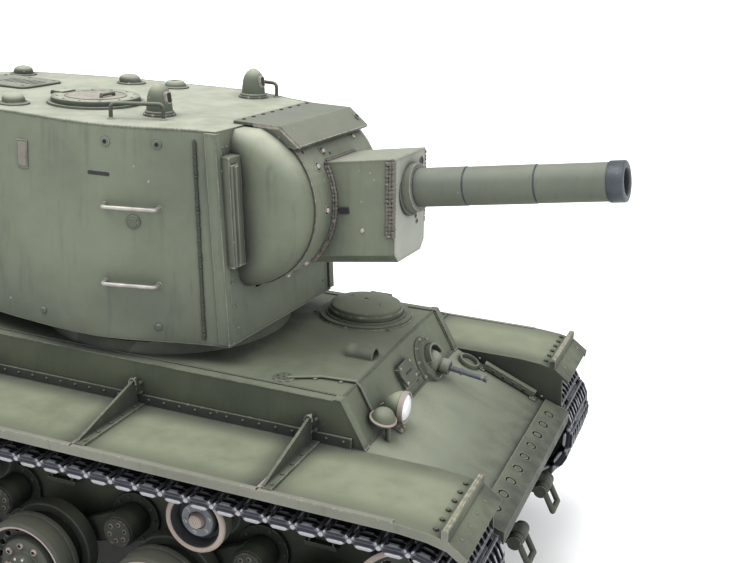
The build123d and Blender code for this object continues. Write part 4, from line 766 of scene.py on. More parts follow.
def finish_road_wheel(mesh, side):
    """Bosses with bored bolts and the hub cap's ring of bolts."""
    bm = bmesh.new()
    sign = SIDES[side]
    out = Vector((0, sign, 0))
    for x, z in ring_of(8, 8.6, 0.2):
        lathe(bm, (x, sign * 90.3, z), out, [(0, 1.5), (0.55, 1.42), (0.75, 1.2), (0.75, 0.75), (0.15, 0.7),
                                             (0.12, 0.0)],
              16, [0, 0, 0, 2, 2])
    for x, z in ring_of(8, 4.5, 0.5):
        lathe(bm, (x, sign * 92.6, z), out, [(0, 0.5), (0.9, 0.48), (1.0, 0.35), (1.0, 0.0)], 8, 1)
    lathe(bm, (0, sign * 93.4, 0), out, [(0, 1.3), (0.12, 1.25), (0.14, 0.9), (0.02, 0.8), (0.0, 0.0)], 16,
          [1, 1, 2, 2])
    add_to(mesh, bm)


def add_to(mesh, bm):
    """Join more geometry, drawn in millimetres, to a finished mesh."""
    bmesh.ops.recalc_face_normals(bm, faces=bm.faces[:])
    for face in bm.faces:
        face.smooth = True
    for edge in bm.edges:
        if len(edge.link_faces) == 2 and edge.calc_face_angle(0.0) > radians(32):
            edge.smooth = False
    bmesh.ops.scale(bm, vec=(MM, MM, MM), verts=bm.verts[:])
    extra = bpy.data.meshes.new("extra")
    bm.to_mesh(extra)
    bm.free()
    whole = bmesh.new()
    whole.from_mesh(mesh)
    whole.from_mesh(extra)
    whole.to_mesh(mesh)
    whole.free()


def draw_roller(bm):
    """Return roller: a worn lipped rim, a deep recess with a black floor of painted shade and a bolted hub
    plate.
    """
    rim = (top_of("return_roller_right_1").z - low_of("return_roller_right_1").z) / 2
    profile = [(67.4, 2.6), (67.4, 5.0), (71.5, 6.5), (71.5, 10.4), (69.0, 10.8), (68.6, rim - 0.4),
               (69.0, rim),
               (74.6, rim), (75.0, rim - 0.4), (75.0, 7.4), (81.0, 7.4), (81.0, rim - 0.4), (81.4, rim),
               (86.3, rim),
               (87.0, rim - 0.3), (87.4, rim - 0.9), (87.4, rim - 1.9), (87.0, rim - 2.25), (86.6, rim - 2.3),
               (86.6, rim - 2.6), (85.2, rim - 3.0), (82.6, rim - 3.6), (82.4, 7.5), (83.6, 7.2), (84.6, 6.9),
               (85.2, 6.4), (85.2, 3.6), (84.9, 3.45), (84.9, 3.2), (85.8, 3.0), (86.8, 2.6), (87.2, 1.8),
               (87.2, 0.0)]
    tags = [0] * 13 + [1] * 4 + [2] * 3 + [2] * 3 + [3] * 3 + [2] * 2 + [1] * 4
    lathe(bm, (0, 0, 0), OUT, profile, 64, tags)
    for x, z in ring_of(6, 5.15, 0.3):
        lathe(bm, (x, 85.0, z), OUT, [(0, 0.8), (0.35, 0.75), (0.42, 0.5), (0.1, 0.45), (0.1, 0.0)], 10,
              [3, 3, 2, 2])
    lathe(bm, (0, 87.1, 0), OUT, [(0, 0.7), (0.12, 0.62), (0.12, 0.45), (0.0, 0.0)], 12, [1, 2, 2])


def draw_idler(bm):
    rim = (top_of("idler_right").z - low_of("idler_right").z) / 2
    profile = [(66.0, 3.1), (66.0, 7.0), (70.5, 8.0), (70.5, 16.8), (67.4, 17.6), (67.0, rim - 0.5),
               (67.5, rim),
               (74.5, rim), (75.0, rim - 0.5), (75.0, 17.2), (72.6, 16.4), (72.6, 10.0), (83.4, 10.0),
               (83.4, 16.4),
               (81.0, 17.2), (81.0, rim - 0.5), (81.5, rim), (89.4, rim), (90.1, rim - 0.3),
               (90.4, rim - 0.9),
               (90.4, rim - 2.0), (89.6, rim - 2.6), (87.0, 17.4), (86.2, 16.6), (85.4, 12.8), (86.4, 11.8),
               (88.4, 11.2), (88.8, 10.6), (88.8, 7.0), (89.4, 6.4), (90.8, 6.0), (91.4, 5.2), (91.4, 0.0)]
    tags = [0] * 18 + [1] * 3 + [0] * 11
    lathe(bm, (0, 0, 0), OUT, profile, 72, tags)


def finish_idler(mesh, side):
    bm = bmesh.new()
    sign = SIDES[side]
    out = Vector((0, sign, 0))
    for x, z in ring_of(8, 9.0, 0.2):
        lathe(bm, (x, sign * 88.7, z), out, [(0, 1.1), (0.6, 1.05), (0.8, 0.8), (0.8, 0.0)], 6, 0)
    for x, z in ring_of(6, 4.0, 0.5):
        lathe(bm, (x, sign * 91.0, z), out, [(0, 0.6), (0.7, 0.55), (0.85, 0.3), (0.85, 0.0)], 8, 1)
    add_to(mesh, bm)


def draw_sprocket(bm):
    """Drum with two toothed rings and the final drive's ribbed, bolted cover."""
    tip = (top_of("drive_sprocket_right").z - low_of("drive_sprocket_right").z) / 2
    drum = tip - 3.9
    profile = [(50.0, 0.0), (50.0, 3.0), (67.6, 3.0), (67.6, 9.0), (70.0, 9.4), (70.0, 18.0), (63.8, 19.0),
               (63.4, drum - 0.6), (63.9, drum), (74.4, drum), (75.0, drum - 0.5), (75.0, 17.0), (81.0, 17.0),
               (81.0, drum - 0.5), (81.6, drum), (91.4, drum), (92.2, drum - 0.8), (92.2, drum - 2.4),
               (91.0, drum - 3.2), (88.8, 18.4), (88.4, 17.0), (88.4, 10.6), (89.4, 10.0), (91.8, 9.4),
               (92.6, 8.6),
               (92.8, 7.4), (92.8, 0.0)]
    tags = [0] * 16 + [1] * 2 + [0] * 8
    lathe(bm, (0, 0, 0), OUT, profile, 72, tags)
    teeth = 16
    tooth_foot = drum - 1.2
    for row in (65.2, 90.2):
        outline = []
        for i in range(teeth):
            middle_angle = sprocket_start + 2 * pi * i / teeth
            for radius, share in ((tooth_foot, -1.75), (drum + 0.6, -1.45), (tip - 0.5, -0.75), (tip, -0.3),
                                  (tip, 0.3), (tip - 0.5, 0.75), (drum + 0.6, 1.45), (tooth_foot, 1.75)):
                angle = middle_angle + share / radius
                outline.append((radius * cos(angle), radius * sin(angle)))
        rings = []
        for y, shrink in ((row - 1.7, 0.25), (row - 1.4, 0.0), (row + 1.4, 0.0), (row + 1.7, 0.25)):
            rings.append([Vector((x * (1 - shrink / tip), y, z * (1 - shrink / tip))) for x, z in outline])
        loft(bm, rings, 2, caps=False)
        for ring_ in (rings[0], rings[-1]):
            inner_ring = [Vector((p.x * 0.86, p.y, p.z * 0.86)) for p in ring_]
            loft(bm, [ring_, inner_ring], 2, caps=False)


def finish_sprocket(mesh, side):
    bm = bmesh.new()
    sign = SIDES[side]
    out = Vector((0, sign, 0))
    for x, z in ring_of(16, 15.2, 0.1):
        lathe(bm, (x, sign * 88.3, z), out, [(0, 0.9), (0.7, 0.85), (0.9, 0.6), (0.9, 0.0)], 6, 0)
    for x, z in ring_of(10, 6.6, 0.1):
        lathe(bm, (x, sign * 92.5, z), out, [(0, 0.7), (0.5, 0.65), (0.7, 0.4), (0.7, 0.0)], 8, 1)
    add_to(mesh, bm)


# ---- tracks ----------------------------------------------------------------------------
LINKS = 90
PITCH = 10.4
TEETH = 16
LINK_IN = 2.3            # pitch line to the wheel side of a link
TREAD_GAP = 0.15


def path_circles(side):
    """Pitch circles the track wraps: sprocket, idler, first and last road wheel."""
    sprocket = middle(f"drive_sprocket_{side}")
    idler = middle(f"idler_{side}")
    first = middle(f"road_wheel_{side}_1")
    last = middle(f"road_wheel_{side}_6")
    reach = LINK_IN + TREAD_GAP
    idler_r = (top_of(f"idler_{side}").z - low_of(f"idler_{side}").z) / 2 + reach
    wheel_r = (top_of(f"road_wheel_{side}_1").z - low_of(f"road_wheel_{side}_1").z) / 2 + reach
    return [(sprocket.x, sprocket.z, TEETH * PITCH / (2 * pi)), (idler.x, idler.z, idler_r),
            (first.x, first.z, wheel_r), (last.x, last.z, wheel_r)]


def track_path(side):
    """Straights and arcs of the pitch line, starting on top, running clockwise."""
    circles = path_circles(side)
    spans = []
    for a, b in zip(circles, circles[1:] + circles[:1]):
        dx, dz = b[0] - a[0], b[1] - a[1]
        angle = atan2(dz, dx) + acos((a[2] - b[2]) / hypot(dx, dz))
        spans.append(([(c[0] + c[2] * cos(angle), c[1] + c[2] * sin(angle)) for c in (a, b)], angle))
    pieces = []
    for i, ((start, end), angle) in enumerate(spans):
        pieces.append(("line", hypot(end[0] - start[0], end[1] - start[1]), start, end))
        around = circles[(i + 1) % 4]
        pieces.append(("arc", around[2] * ((angle - spans[(i + 1) % 4][1]) % (2 * pi)), around, angle))
    return pieces


def path_pose(pieces, distance):
    """Place on the pitch line: x, z and the outward normal's angle."""
    for kind, length, first, second in pieces:
        if distance > length:
            distance -= length
            continue
        if kind == "line":
            t = distance / length
            return (first[0] + t * (second[0] - first[0]), first[1] + t * (second[1] - first[1]),
                    atan2(second[1] - first[1], second[0] - first[0]) + pi / 2)
        angle = second - distance / first[2]
        return first[0] + first[2] * cos(angle), first[1] + first[2] * sin(angle), angle
    return path_pose(pieces, distance - 1e-3)


def sprocket_tooth_angle():
    """Angle of a tooth that stands in a gap between two links."""
    pieces = track_path("right")
    centre = path_circles("right")[0]
    distance = 0.0
    for kind, length, first, _ in pieces:
        if kind == "arc" and abs(first[0] - centre[0]) < 1e-6:
            return path_pose(pieces, (int(distance / PITCH) + 1) * PITCH)[2]
        distance += length
    return 0.0


sprocket_start = sprocket_tooth_angle()


def draw_link(bm, horned):
    """One cast link, X along the track and Z outwards: body, comb of ribs, knuckles, horn."""
    half = 19.5
    hinge = PITCH / 2

    def strip(profile, y0, y1, edge=0.2, material=0):
        prism(bm, profile, y0, y1, upright, edge, material)

    body = soften([(-4.5, -0.4), (-3.5, -1.9), (-2.0, -2.28), (2.0, -2.28), (3.5, -1.9), (4.5, -0.4),
                   (4.5, 0.7),
                   (-4.5, 0.7)], 0.5, 2)
    narrow = [(-2.9, -2.1), (2.9, -2.1), (2.9, 0.7), (-2.9, 0.7)]
    for sign in (-1, 1):
        lo, hi = sorted((sign * 14.8, sign * (half - 0.5)))
        strip(body, lo, hi)
        lo, hi = sorted((sign * 10.2, sign * 14.8))
        strip(narrow, lo, hi)
    strip(body, -10.2, 10.2)
    lip = soften([(-3.4, -1.5), (-2.3, -2.3), (2.3, -2.3), (3.4, -1.5), (2.6, -1.0), (-2.6, -1.0)], 0.4, 2)
    strip(lip, -half, -half + 2.0, 0.25, 1)
    strip(lip, half - 2.0, half, 0.25, 1)
    for x in (-1, 1):
        bar = [(x * 3.2, 0.5), (x * 4.6, 0.5), (x * 4.55, 1.35), (x * 4.1, 1.75), (x * 3.5, 1.7)]
        strip(bar, -half + 0.3, half - 0.3, 0.15, 1)
    for y in (-18.6, -14.9, -10.3, -5.9, -1.5, 1.5, 5.9, 10.3, 14.9, 18.6):
        wide = 0.62 if abs(y) < 18 else 0.85
        strip([(-4.0, 0.5), (4.0, 0.5), (3.4, 1.75), (1.9, 2.26), (-1.9, 2.26), (-3.4, 1.75)],
              y - wide, y + wide, 0.18, 0)
        strip([(-1.8, 2.0), (1.8, 2.0), (1.7, 2.27), (-1.7, 2.27)], y - wide + 0.25, y + wide - 0.25, 0.05, 1)
    for sign, spans in ((1, ((-19.2, -15.4), (-9.8, -5.2), (5.2, 9.8), (15.4, 19.2))),
                        (-1, ((-4.9, 4.9),))):
        for y0, y1 in spans:
            rod(bm, (sign * hinge, y0, 0), (sign * hinge, y1, 0), 1.3, 10, 0)
    for y in (-19.2, 19.2):
        sign = 1 if y > 0 else -1
        lathe(bm, (hinge, y, 0), (0, sign, 0), [(0, 0.95), (0.22, 0.9), (0.3, 0.6), (0.3, 0.0)], 10, 1)
    if horned:
        rings = []
        for z, hx, hy in ((-1.8, 2.9, 1.9), (-4.2, 2.3, 1.5), (-6.2, 1.6, 1.1), (-6.9, 0.9, 0.7)):
            rings.append([Vector((x, y, z)) for x, y in soften(
                [(-hx, -hy), (hx, -hy), (hx, hy), (-hx, hy)], 0.6, 2)])
        loft(bm, rings, 0)


def draw_track(side):
    pieces = track_path(side)
    centre_y = middle(f"track_{side}").y
    patterns = []
    for horned in (False, True):
        bm = bmesh.new()
        draw_link(bm, horned)
        bmesh.ops.recalc_face_normals(bm, faces=bm.faces[:])
        mesh = bpy.data.meshes.new("link")
        bm.to_mesh(mesh)
        bm.free()
        patterns.append(mesh)
    whole = bmesh.new()
    for i in range(LINKS):
        x, z, angle = path_pose(pieces, (i + 0.5) * PITCH)
        first = len(whole.verts)
        whole.from_mesh(patterns[i % 2])
        whole.verts.ensure_lookup_table()
        turn = Matrix.Translation((x, centre_y, z)) @ Matrix.Rotation(pi / 2 - angle, 4, "Y")
        bmesh.ops.transform(whole, matrix=turn, verts=whole.verts[first:])
    for mesh in patterns:
        bpy.data.meshes.remove(mesh)
    piece(f"track_links_{side}", whole, "hull", [TRACK, TRACK_EDGE],
          replaces=[f"track_{side}"])


def running_gear():
    road = [SHADED_WHEEL_PAINT, CHIPPED, SHADE_BLACK]
    roller = [SHADED_WHEEL_PAINT, WORN_BAND, SHADE_BLACK, HUB_METAL]
    end_wheel = [SHADED_WHEEL_PAINT, WORN_BAND, TRACK_EDGE]
    for side in SIDES:
        sign = SIDES[side]
        wheel = wheel_mesh("road_wheel", draw_road_wheel, road, side)
        wheel = cut_holes(wheel, f"road_wheel_face_{side}", 14.25, 16,
                          (1.15, 1.6, min(sign * 84.6, sign * 90), max(sign * 84.6, sign * 90)))
        finish_road_wheel(wheel, side)
        for number in range(1, 7):
            name = f"road_wheel_{side}_{number}"
            set_wheel(f"wheel_{side}_{number}", wheel, name, name)
        small = wheel_mesh("return_roller", draw_roller, roller, side)
        for number in range(1, 4):
            name = f"return_roller_{side}_{number}"
            set_wheel(f"roller_{side}_{number}", small, name, name)
        front = wheel_mesh("idler", draw_idler, end_wheel, side)
        front = cut_holes(front, f"idler_face_{side}", 14.6, 8,
                          (1.6, 2.4, min(sign * 68, sign * 92), max(sign * 68, sign * 92)))
        finish_idler(front, side)
        set_wheel(f"idler_wheel_{side}", front, f"idler_{side}", f"idler_{side}")
        rear = wheel_mesh("sprocket", draw_sprocket, end_wheel, side)
        finish_sprocket(rear, side)
        set_wheel(f"sprocket_wheel_{side}", rear, f"drive_sprocket_{side}", f"drive_sprocket_{side}")
        draw_track(side)


running_gear()


# ---- suspension arms -------------------------------------------------------------------
def suspension_arms():
    """Cast trailing arms: a capped hub, a tapering web to the axle, and the axle."""
    for side in SIDES:
        sign = SIDES[side]
        out = Vector((0, sign, 0))
        for number in range(1, 7):
            node_name = f"suspension_arm_{side}_{number}"
            wheel = middle(f"road_wheel_{side}_{number}")
            pivot = Vector(JOINTS[f"{node_name}_swing"]["pos_m"]) / MM
            hub_end = 64.6 if number == 1 else 71.5
            bm = bmesh.new()
            base = (pivot.x, sign * 59.1, pivot.z)
            length = hub_end - 59.1
            lathe(bm, base, out, [(0, 6.6), (0.5, 7.0), (length - 0.8, 6.9), (length - 0.2, 6.6),
                                  (length, 6.2),
                                  (length + 0.5, 6.2), (length + 0.8, 5.9), (length + 0.8, 5.5),
                                  (length + 0.62, 5.4), (length + 0.62, 0.0)], 40, [0] * 5 + [1] * 4)
            cap = Vector((pivot.x, sign * (hub_end + 0.6), pivot.z))
            for x, z in ring_of(6, 3.7, 0.35):
                socket(bm, cap + Vector((x, 0, z)), out, 0.72, material=1, inside=2, lip=0.22)
            lathe(bm, (pivot.x, sign * 50.6, pivot.z), out, [(0, 2.8), (0.3, 3.0), (9, 3.0), (9.2, 2.8)], 20)
            run = Vector((wheel.x - pivot.x, 0, wheel.z - pivot.z))
            tilt = run.normalized()
            side_way = Vector((-tilt.z, 0, tilt.x))
            outline = []
            for k in range(13):
                angle = -pi / 2 + pi * k / 12
                outline.append((run.length + 4.6 * cos(angle), 4.6 * sin(angle)))
            for k in range(13):
                angle = pi / 2 + pi * k / 12
                outline.append((6.2 * cos(angle), 6.2 * sin(angle)))
            start = Vector((pivot.x, 0, pivot.z))
            prism(bm, outline, 60.4, 65.4,
                  lambda a, b, c: start + tilt * a + side_way * b + out * c, 0.9)
            lathe(bm, (wheel.x, sign * 60.4, wheel.z), out, [(0, 4.6), (0.4, 5.0), (5.8, 5.0), (6.2, 4.7)],
                  24)
            lathe(bm, (wheel.x, sign * 66.5, wheel.z), out, [(0, 2.5), (24.0, 2.5), (24.2, 2.3)], 20)
            piece(f"arm_{side}_{number}", bm, node_name, [DARK_SHADED_PAINT, SHADED_WHEEL_PAINT, SHADE_BLACK],
                  replaces=[node_name])


suspension_arms()


# ---- turret ----------------------------------------------------------------------------
UP = Vector((0, 0, 1))
ROOF = cast("turret_shell", (-60, 25, 250), (0, 0, -1), TURRET)[0].z
BOTTOM = low_of("turret_shell").z


def wall(x, z, sign):
    """Point and outward normal on the turret's side wall, in the turret's frame."""
    return cast("turret_shell", (x, sign * 90, z), (0, -sign, 0), TURRET)


def roof_rail(bm, a, b, height=6.0, radius=0.8):
    bend = 2.0
    a, b = Vector((*a, ROOF)), Vector((*b, ROOF))
    run = (b - a).normalized()
    path = [a - UP * 0.5, a + UP * (height - bend)]
    path += [a + UP * (height - bend * (1 - sin(t))) + run * bend * (1 - cos(t))
             for t in (pi / 2 * k / 5 for k in range(1, 6))]
    path += [b + UP * (height - bend * (1 - cos(t))) - run * bend * (1 - sin(t))
             for t in (pi / 2 * k / 5 for k in range(0, 6))]
    path += [b - UP * 0.5]
    tube(bm, path, radius, 12)
    for foot in (a, b):
        lathe(bm, foot, UP, [(-0.2, 1.5), (0.3, 1.4), (0.5, 0.9), (0.5, 0.0)], 14)


def periscope_dome(bm, x, y):
    """Tall rounded hood on a stepped flange, with a dark window facing forward."""
    base = (x, y, ROOF)
    lathe(bm, base, UP, [(-0.2, 6.3), (0.5, 6.35), (0.9, 6.2), (1.0, 5.7), (1.5, 5.75), (1.9, 5.5),
                         (2.0, 5.15),
                         (4.5, 4.95), (7.4, 4.6), (9.6, 3.9), (11.2, 2.8), (12.2, 1.5), (12.6, 0.4),
                         (12.62, 0)], 40)
    for i in range(8):
        angle = 2 * pi * i / 8 + 0.2
        rivet(bm, (x + 5.95 * cos(angle), y + 5.95 * sin(angle), ROOF + 0.75), UP, 0.35, 0.35)
    outline = soften([(-1.25, -1.9), (1.25, -1.9), (1.25, 1.9), (-1.25, 1.9)], 0.9, 3)
    lean = Vector((cos(radians(10)), 0, sin(radians(10))))
    space = on_face(Vector((x + 4.35, y, ROOF + 7.2)), lean)
    prism(bm, soften([(-1.75, -2.4), (1.75, -2.4), (1.75, 2.4), (-1.75, 2.4)], 1.2, 3), -1.2, 0.42, space,
          0.2)
    prism(bm, outline, -0.6, 0.5, space, 0.05, 1)


def blister(bm, x, y, turn):
    """Low teardrop cover over a fixed periscope, on a thin oval foot."""
    forward = Vector((cos(turn), sin(turn), 0))
    aside = Vector((-sin(turn), cos(turn), 0))
    centre = Vector((x, y, ROOF))
    foot = [(6.3 * cos(t) * (1.12 if cos(t) < 0 else 1.0),
             6.0 * sin(t)) for t in (2 * pi * k / 36 for k in range(36))]
    prism(bm, foot, -0.2, 0.7, lambda a, b, c: centre + forward * a + aside * b + UP * c, 0.25)
    rings = []
    for k in range(9):
        lift = k / 8
        size = (1 - lift ** 3.2) ** 0.5 if lift < 1 else 0.04
        ring_ = []
        for t in (2 * pi * i / 32 for i in range(32)):
            back = 1.15 if cos(t) < 0 else 0.86
            long = 5.0 * back * cos(t) * max(size, 0.05) - 0.9 * lift
            wide = 4.5 * sin(t) * max(size, 0.05)
            ring_.append(centre + forward * long + aside * wide + UP * (0.5 + 4.0 * lift))
        rings.append(ring_)
    loft(bm, rings)
    for sign in (-1, 1):
        rivet(bm, centre + aside * sign * 5.2 + UP * 0.6, UP, 0.45, 0.4)


def turret_roof_fittings():
    bm = bmesh.new()
    for x, y in DOMES:
        periscope_dome(bm, x, y)
    lathe(bm, (*MUSHROOM, ROOF), UP, [(-0.2, 6.1), (0.5, 6.1), (0.8, 5.8), (0.9, 4.9), (1.6, 4.7), (2.9, 3.9),
                                        (3.2, 3.3), (3.25, 0.0)], 36)
    prism(bm, soften([(-0.45, -2.7), (0.45, -2.7), (0.45, 2.7), (-0.45, 2.7)], 0.4, 2), 2.9, 3.32,
          lambda a, b, c: Vector((MUSHROOM[0] + a, MUSHROOM[1] + b, ROOF + c)), 0.05, 1)
    for x, y, turn in ((-47.7, 38.0, 0.35), (-47.7, -38.0, -0.35), (-104.0, 28.0, 2.6), (-104.0, -28.0,
                                                                                         -2.6)):
        blister(bm, x, y, turn)
    vent = soften([(-106.0, -8.0), (-70.5, -8.0), (-70.5, 18.0), (-106.0, 18.0)], 4.5, 5)
    prism(bm, vent, ROOF - 0.3, ROOF + 1.1, flat, 0.35)
    for x in (-102.5, -88.2, -74.0):
        for y in (-5.0, 15.0):
            hex_bolt(bm, (x, y, ROOF + 1.1), UP, 0.7, 0.45)
    for i in range(7):
        prism(bm, soften([(-92.5 + i * 3.0, 0.0), (-91.3 + i * 3.0, 0.0), (-91.3 + i * 3.0, 10.0),
                          (-92.5 + i * 3.0, 10.0)], 0.5, 2), ROOF + 0.9, ROOF + 1.16, flat, 0.05, 1)
    piece("roof_fittings", bm, "turret", [TURRET_PAINT, SHADE_BLACK], TURRET,
          replaces=["turret_fittings"])

    bm = bmesh.new()
    roof_rail(bm, (4.0, -42.0), (21.4, -32.4))
    roof_rail(bm, (25.4, 45.6), (8.5, 48.0))
    piece("roof_rails", bm, "turret", TURRET_PAINT, TURRET, replaces=["turret_fittings"])


def rain_guard():
    """Bent plate over the gun opening, with its end gusset and a row of bolts."""
    y0 = TURRET_TO_GUN.translation.y + mantlet_y[0] - 1.4
    y1 = TURRET_TO_GUN.translation.y + mantlet_y[1] + 1.6
    tz = ROOF
    bm = bmesh.new()
    plate = [(46.0, tz - 0.05), (66.4, tz - 0.05), (74.9, tz - 6.5), (75.7, tz - 5.5), (67.0, tz + 1.25),
             (46.0, tz + 1.25)]
    prism(bm, plate, y0, y1, upright, 0.2)
    for y_low, y_high in ((y0, y0 + 1.1), (y1 - 1.1, y1)):
        gusset = [(55.0, tz + 0.5), (66.6, tz + 0.5), (74.9, tz - 6.0), (73.0, tz - 7.0), (68.6, tz - 6.3),
                  (64.0, tz - 3.6), (59.5, tz - 1.9), (55.0, tz - 1.2)]
        prism(bm, gusset, y_low, y_high, upright, 0.15)
    for i in range(8):
        y = y0 + 4.0 + i * (y1 - y0 - 8.0) / 7
        prism(bm, soften([(-0.9, -0.55), (0.9, -0.55), (0.9, 0.55), (-0.9, 0.55)], 0.4, 2), -0.1, 0.35,
              lambda a, b, c, y=y: Vector((48.3 + a * 0.6, y + b * 1.6, tz + 1.2 + c)), 0.06, 1)
    lathe(bm, (70.9, y1 - 3.2, tz - 2.6), (0.62, 0, 0.78), [(-0.1, 1.5), (1.35, 1.5), (1.4, 1.1), (1.3, 1.0),
                                                            (1.3, 0)],
          18, [0, 0, 1, 1])
    piece("rain_guard", bm, "turret", [MANTLET_PAINT, SHADE_BLACK], TURRET,
          replaces=["turret_fittings"])


def side_fittings():
    bare = bmesh.new()
    bm = bmesh.new()
    for sign in (-1, 1):
        for z in (136.0, 166.0):
            ends = [wall(x, z, sign) for x in (10.0, 30.0)]
            (a, na), (b, nb) = ends
            run = (b - a).normalized()
            out = ((na + nb) / 2).normalized()
            stand, bend = 4.2, 1.7
            path = [a - out * 0.4, a + out * (stand - bend)]
            path += [a + out * (stand - bend * (1 - sin(t))) + run * bend * (1 - cos(t))
                     for t in (pi / 2 * k / 5 for k in range(1, 6))]
            path += [b + out * (stand - bend * (1 - cos(t))) - run * bend * (1 - sin(t))
                     for t in (pi / 2 * k / 5 for k in range(0, 6))]
            path += [b - out * 0.4]
            tube(bare, path, 0.78, 12)
            for foot, normal in ends:
                lathe(bm, foot, normal, [(-0.3, 1.35), (0.25, 1.25), (0.4, 0.9), (0.4, 0.0)], 14)
        for x in (10.3, 29.2):
            point, normal = wall(x, 190.0, sign)
            lathe(bm, point, normal, [(-0.3, 1.85), (0.35, 1.8), (0.5, 1.45), (0.5, 0.85), (0.1, 0.75),
                                      (0.08, 0.0)],
                  20, [0, 0, 0, 1, 1])
        point, normal = wall(20.9, 160.2, sign)
        lathe(bm, point, normal, [(-0.3, 2.7), (0.5, 2.65), (0.75, 2.4), (0.8, 1.9), (1.25, 1.7), (1.35, 1.3),
                                  (1.35, 0.0)], 28)
        point, normal = wall(7.3, 177.7, sign)
        space = on_face(point, normal)
        prism(bm, soften([(-4.6, -0.75), (4.6, -0.75), (4.6, 0.75), (-4.6, 0.75)], 0.7, 3), -0.5, 0.06, space,
              0.03, 1)
        point, normal = wall(-30.1, 180.5, sign)
        space = on_face(point, normal)
        for outline, low, high, tag in (
                ([(-2.9, -5.6), (2.9, -5.6), (2.9, 5.6), (-2.9, 5.6)], -0.5, 0.45, 0),
                ([(-2.1, -4.6), (2.1, -4.6), (2.1, 4.6), (-2.1, 4.6)], 0.2, 0.55, 2)):
            prism(bm, soften(outline, 0.5, 2), low, high, space, 0.15, tag)
    piece("turret_rungs", bare, "turret", BARE_STEEL, TURRET, replaces=["turret_fittings"])
    piece("turret_side_fittings", bm, "turret", [TURRET_PAINT, SHADE_BLACK, DARK_SHADED_PAINT], TURRET,
          replaces=["turret_fittings"])


def turret_welds():
    """Beads round the roof's edge and down the joints of the front plate."""
    bm = bmesh.new()
    for sign in (-1, 1):
        edge = []
        for k in range(27):
            x = 46.0 - k * 6.0
            point, _ = wall(x, ROOF - 1.6, sign)
            edge.append((point.x, point.y - sign * 0.35, ROOF - 0.25))
        bead(bm, edge, 0.5)
        seam = []
        for k in range(15):
            z = BOTTOM + 2.0 + k * (ROOF - BOTTOM - 6.0) / 14
            point, normal = wall(47.2 - (z - BOTTOM) * 0.058, z, sign)
            seam.append(point + normal * 0.1)
        bead(bm, seam, 0.75, 1)
    piece("turret_weld_beads", bm, "turret", [TURRET_PAINT, DARK_SHADED_PAINT], TURRET, angle=60)


def front_plate_details():
    """Low bolts, and the ribbed stop bar beside the gun's near cheek."""
    bm = bmesh.new()
    for sign in (-1, 1):
        for z in (119.0, 128.5, 138.0, 190.0):
            if sign > 0 and z > 150:
                continue
            for dy in (0.0, 2.6):
                y = sign * (37.6 - dy)
                found = cast("turret_shell", (120, y, z), (-1, 0, 0), TURRET)
                rivet(bm, found[0], found[1], 0.62, 0.55)
    point, _ = cast("turret_shell", (120, -38.0, 166.0), (-1, 0, 0), TURRET)
    face = Vector((point.x, -38.0, 165.0))
    space = on_face(face, (1, 0, 0.058))
    for outline, low, high in (([(-2.1, -19.4), (2.1, -19.4), (2.1, 19.4), (-2.1, 19.4)], -0.6, 1.0),
                               ([(-0.9, -19.0), (0.9, -19.0), (0.9, 19.0), (-0.9, 19.0)], 0.8, 2.0)):
        prism(bm, outline, low, high, space, 0.25)
    piece("front_plate_details", bm, "turret", [TURRET_PAINT, SHADE_BLACK], TURRET)


mantlet_box = [GUN.inverted() @ Vector(v.co) for v in NODES["mantlet"].data.vertices]
shield_points = [p for p in mantlet_box if p.x < 20.0 and abs(p.z) < 12.0]
mantlet_y = (min(p.y for p in shield_points) + 4.0, max(p.y for p in shield_points) - 4.0)
SHIELD_R = max(hypot(p.x, p.z) for p in mantlet_box if p.y < mantlet_y[0] + 1.0)
BORE_Z = -1.0            # the barrel's axis, below the trunnions
BORE_END = 20.0          # how far back the bore is open


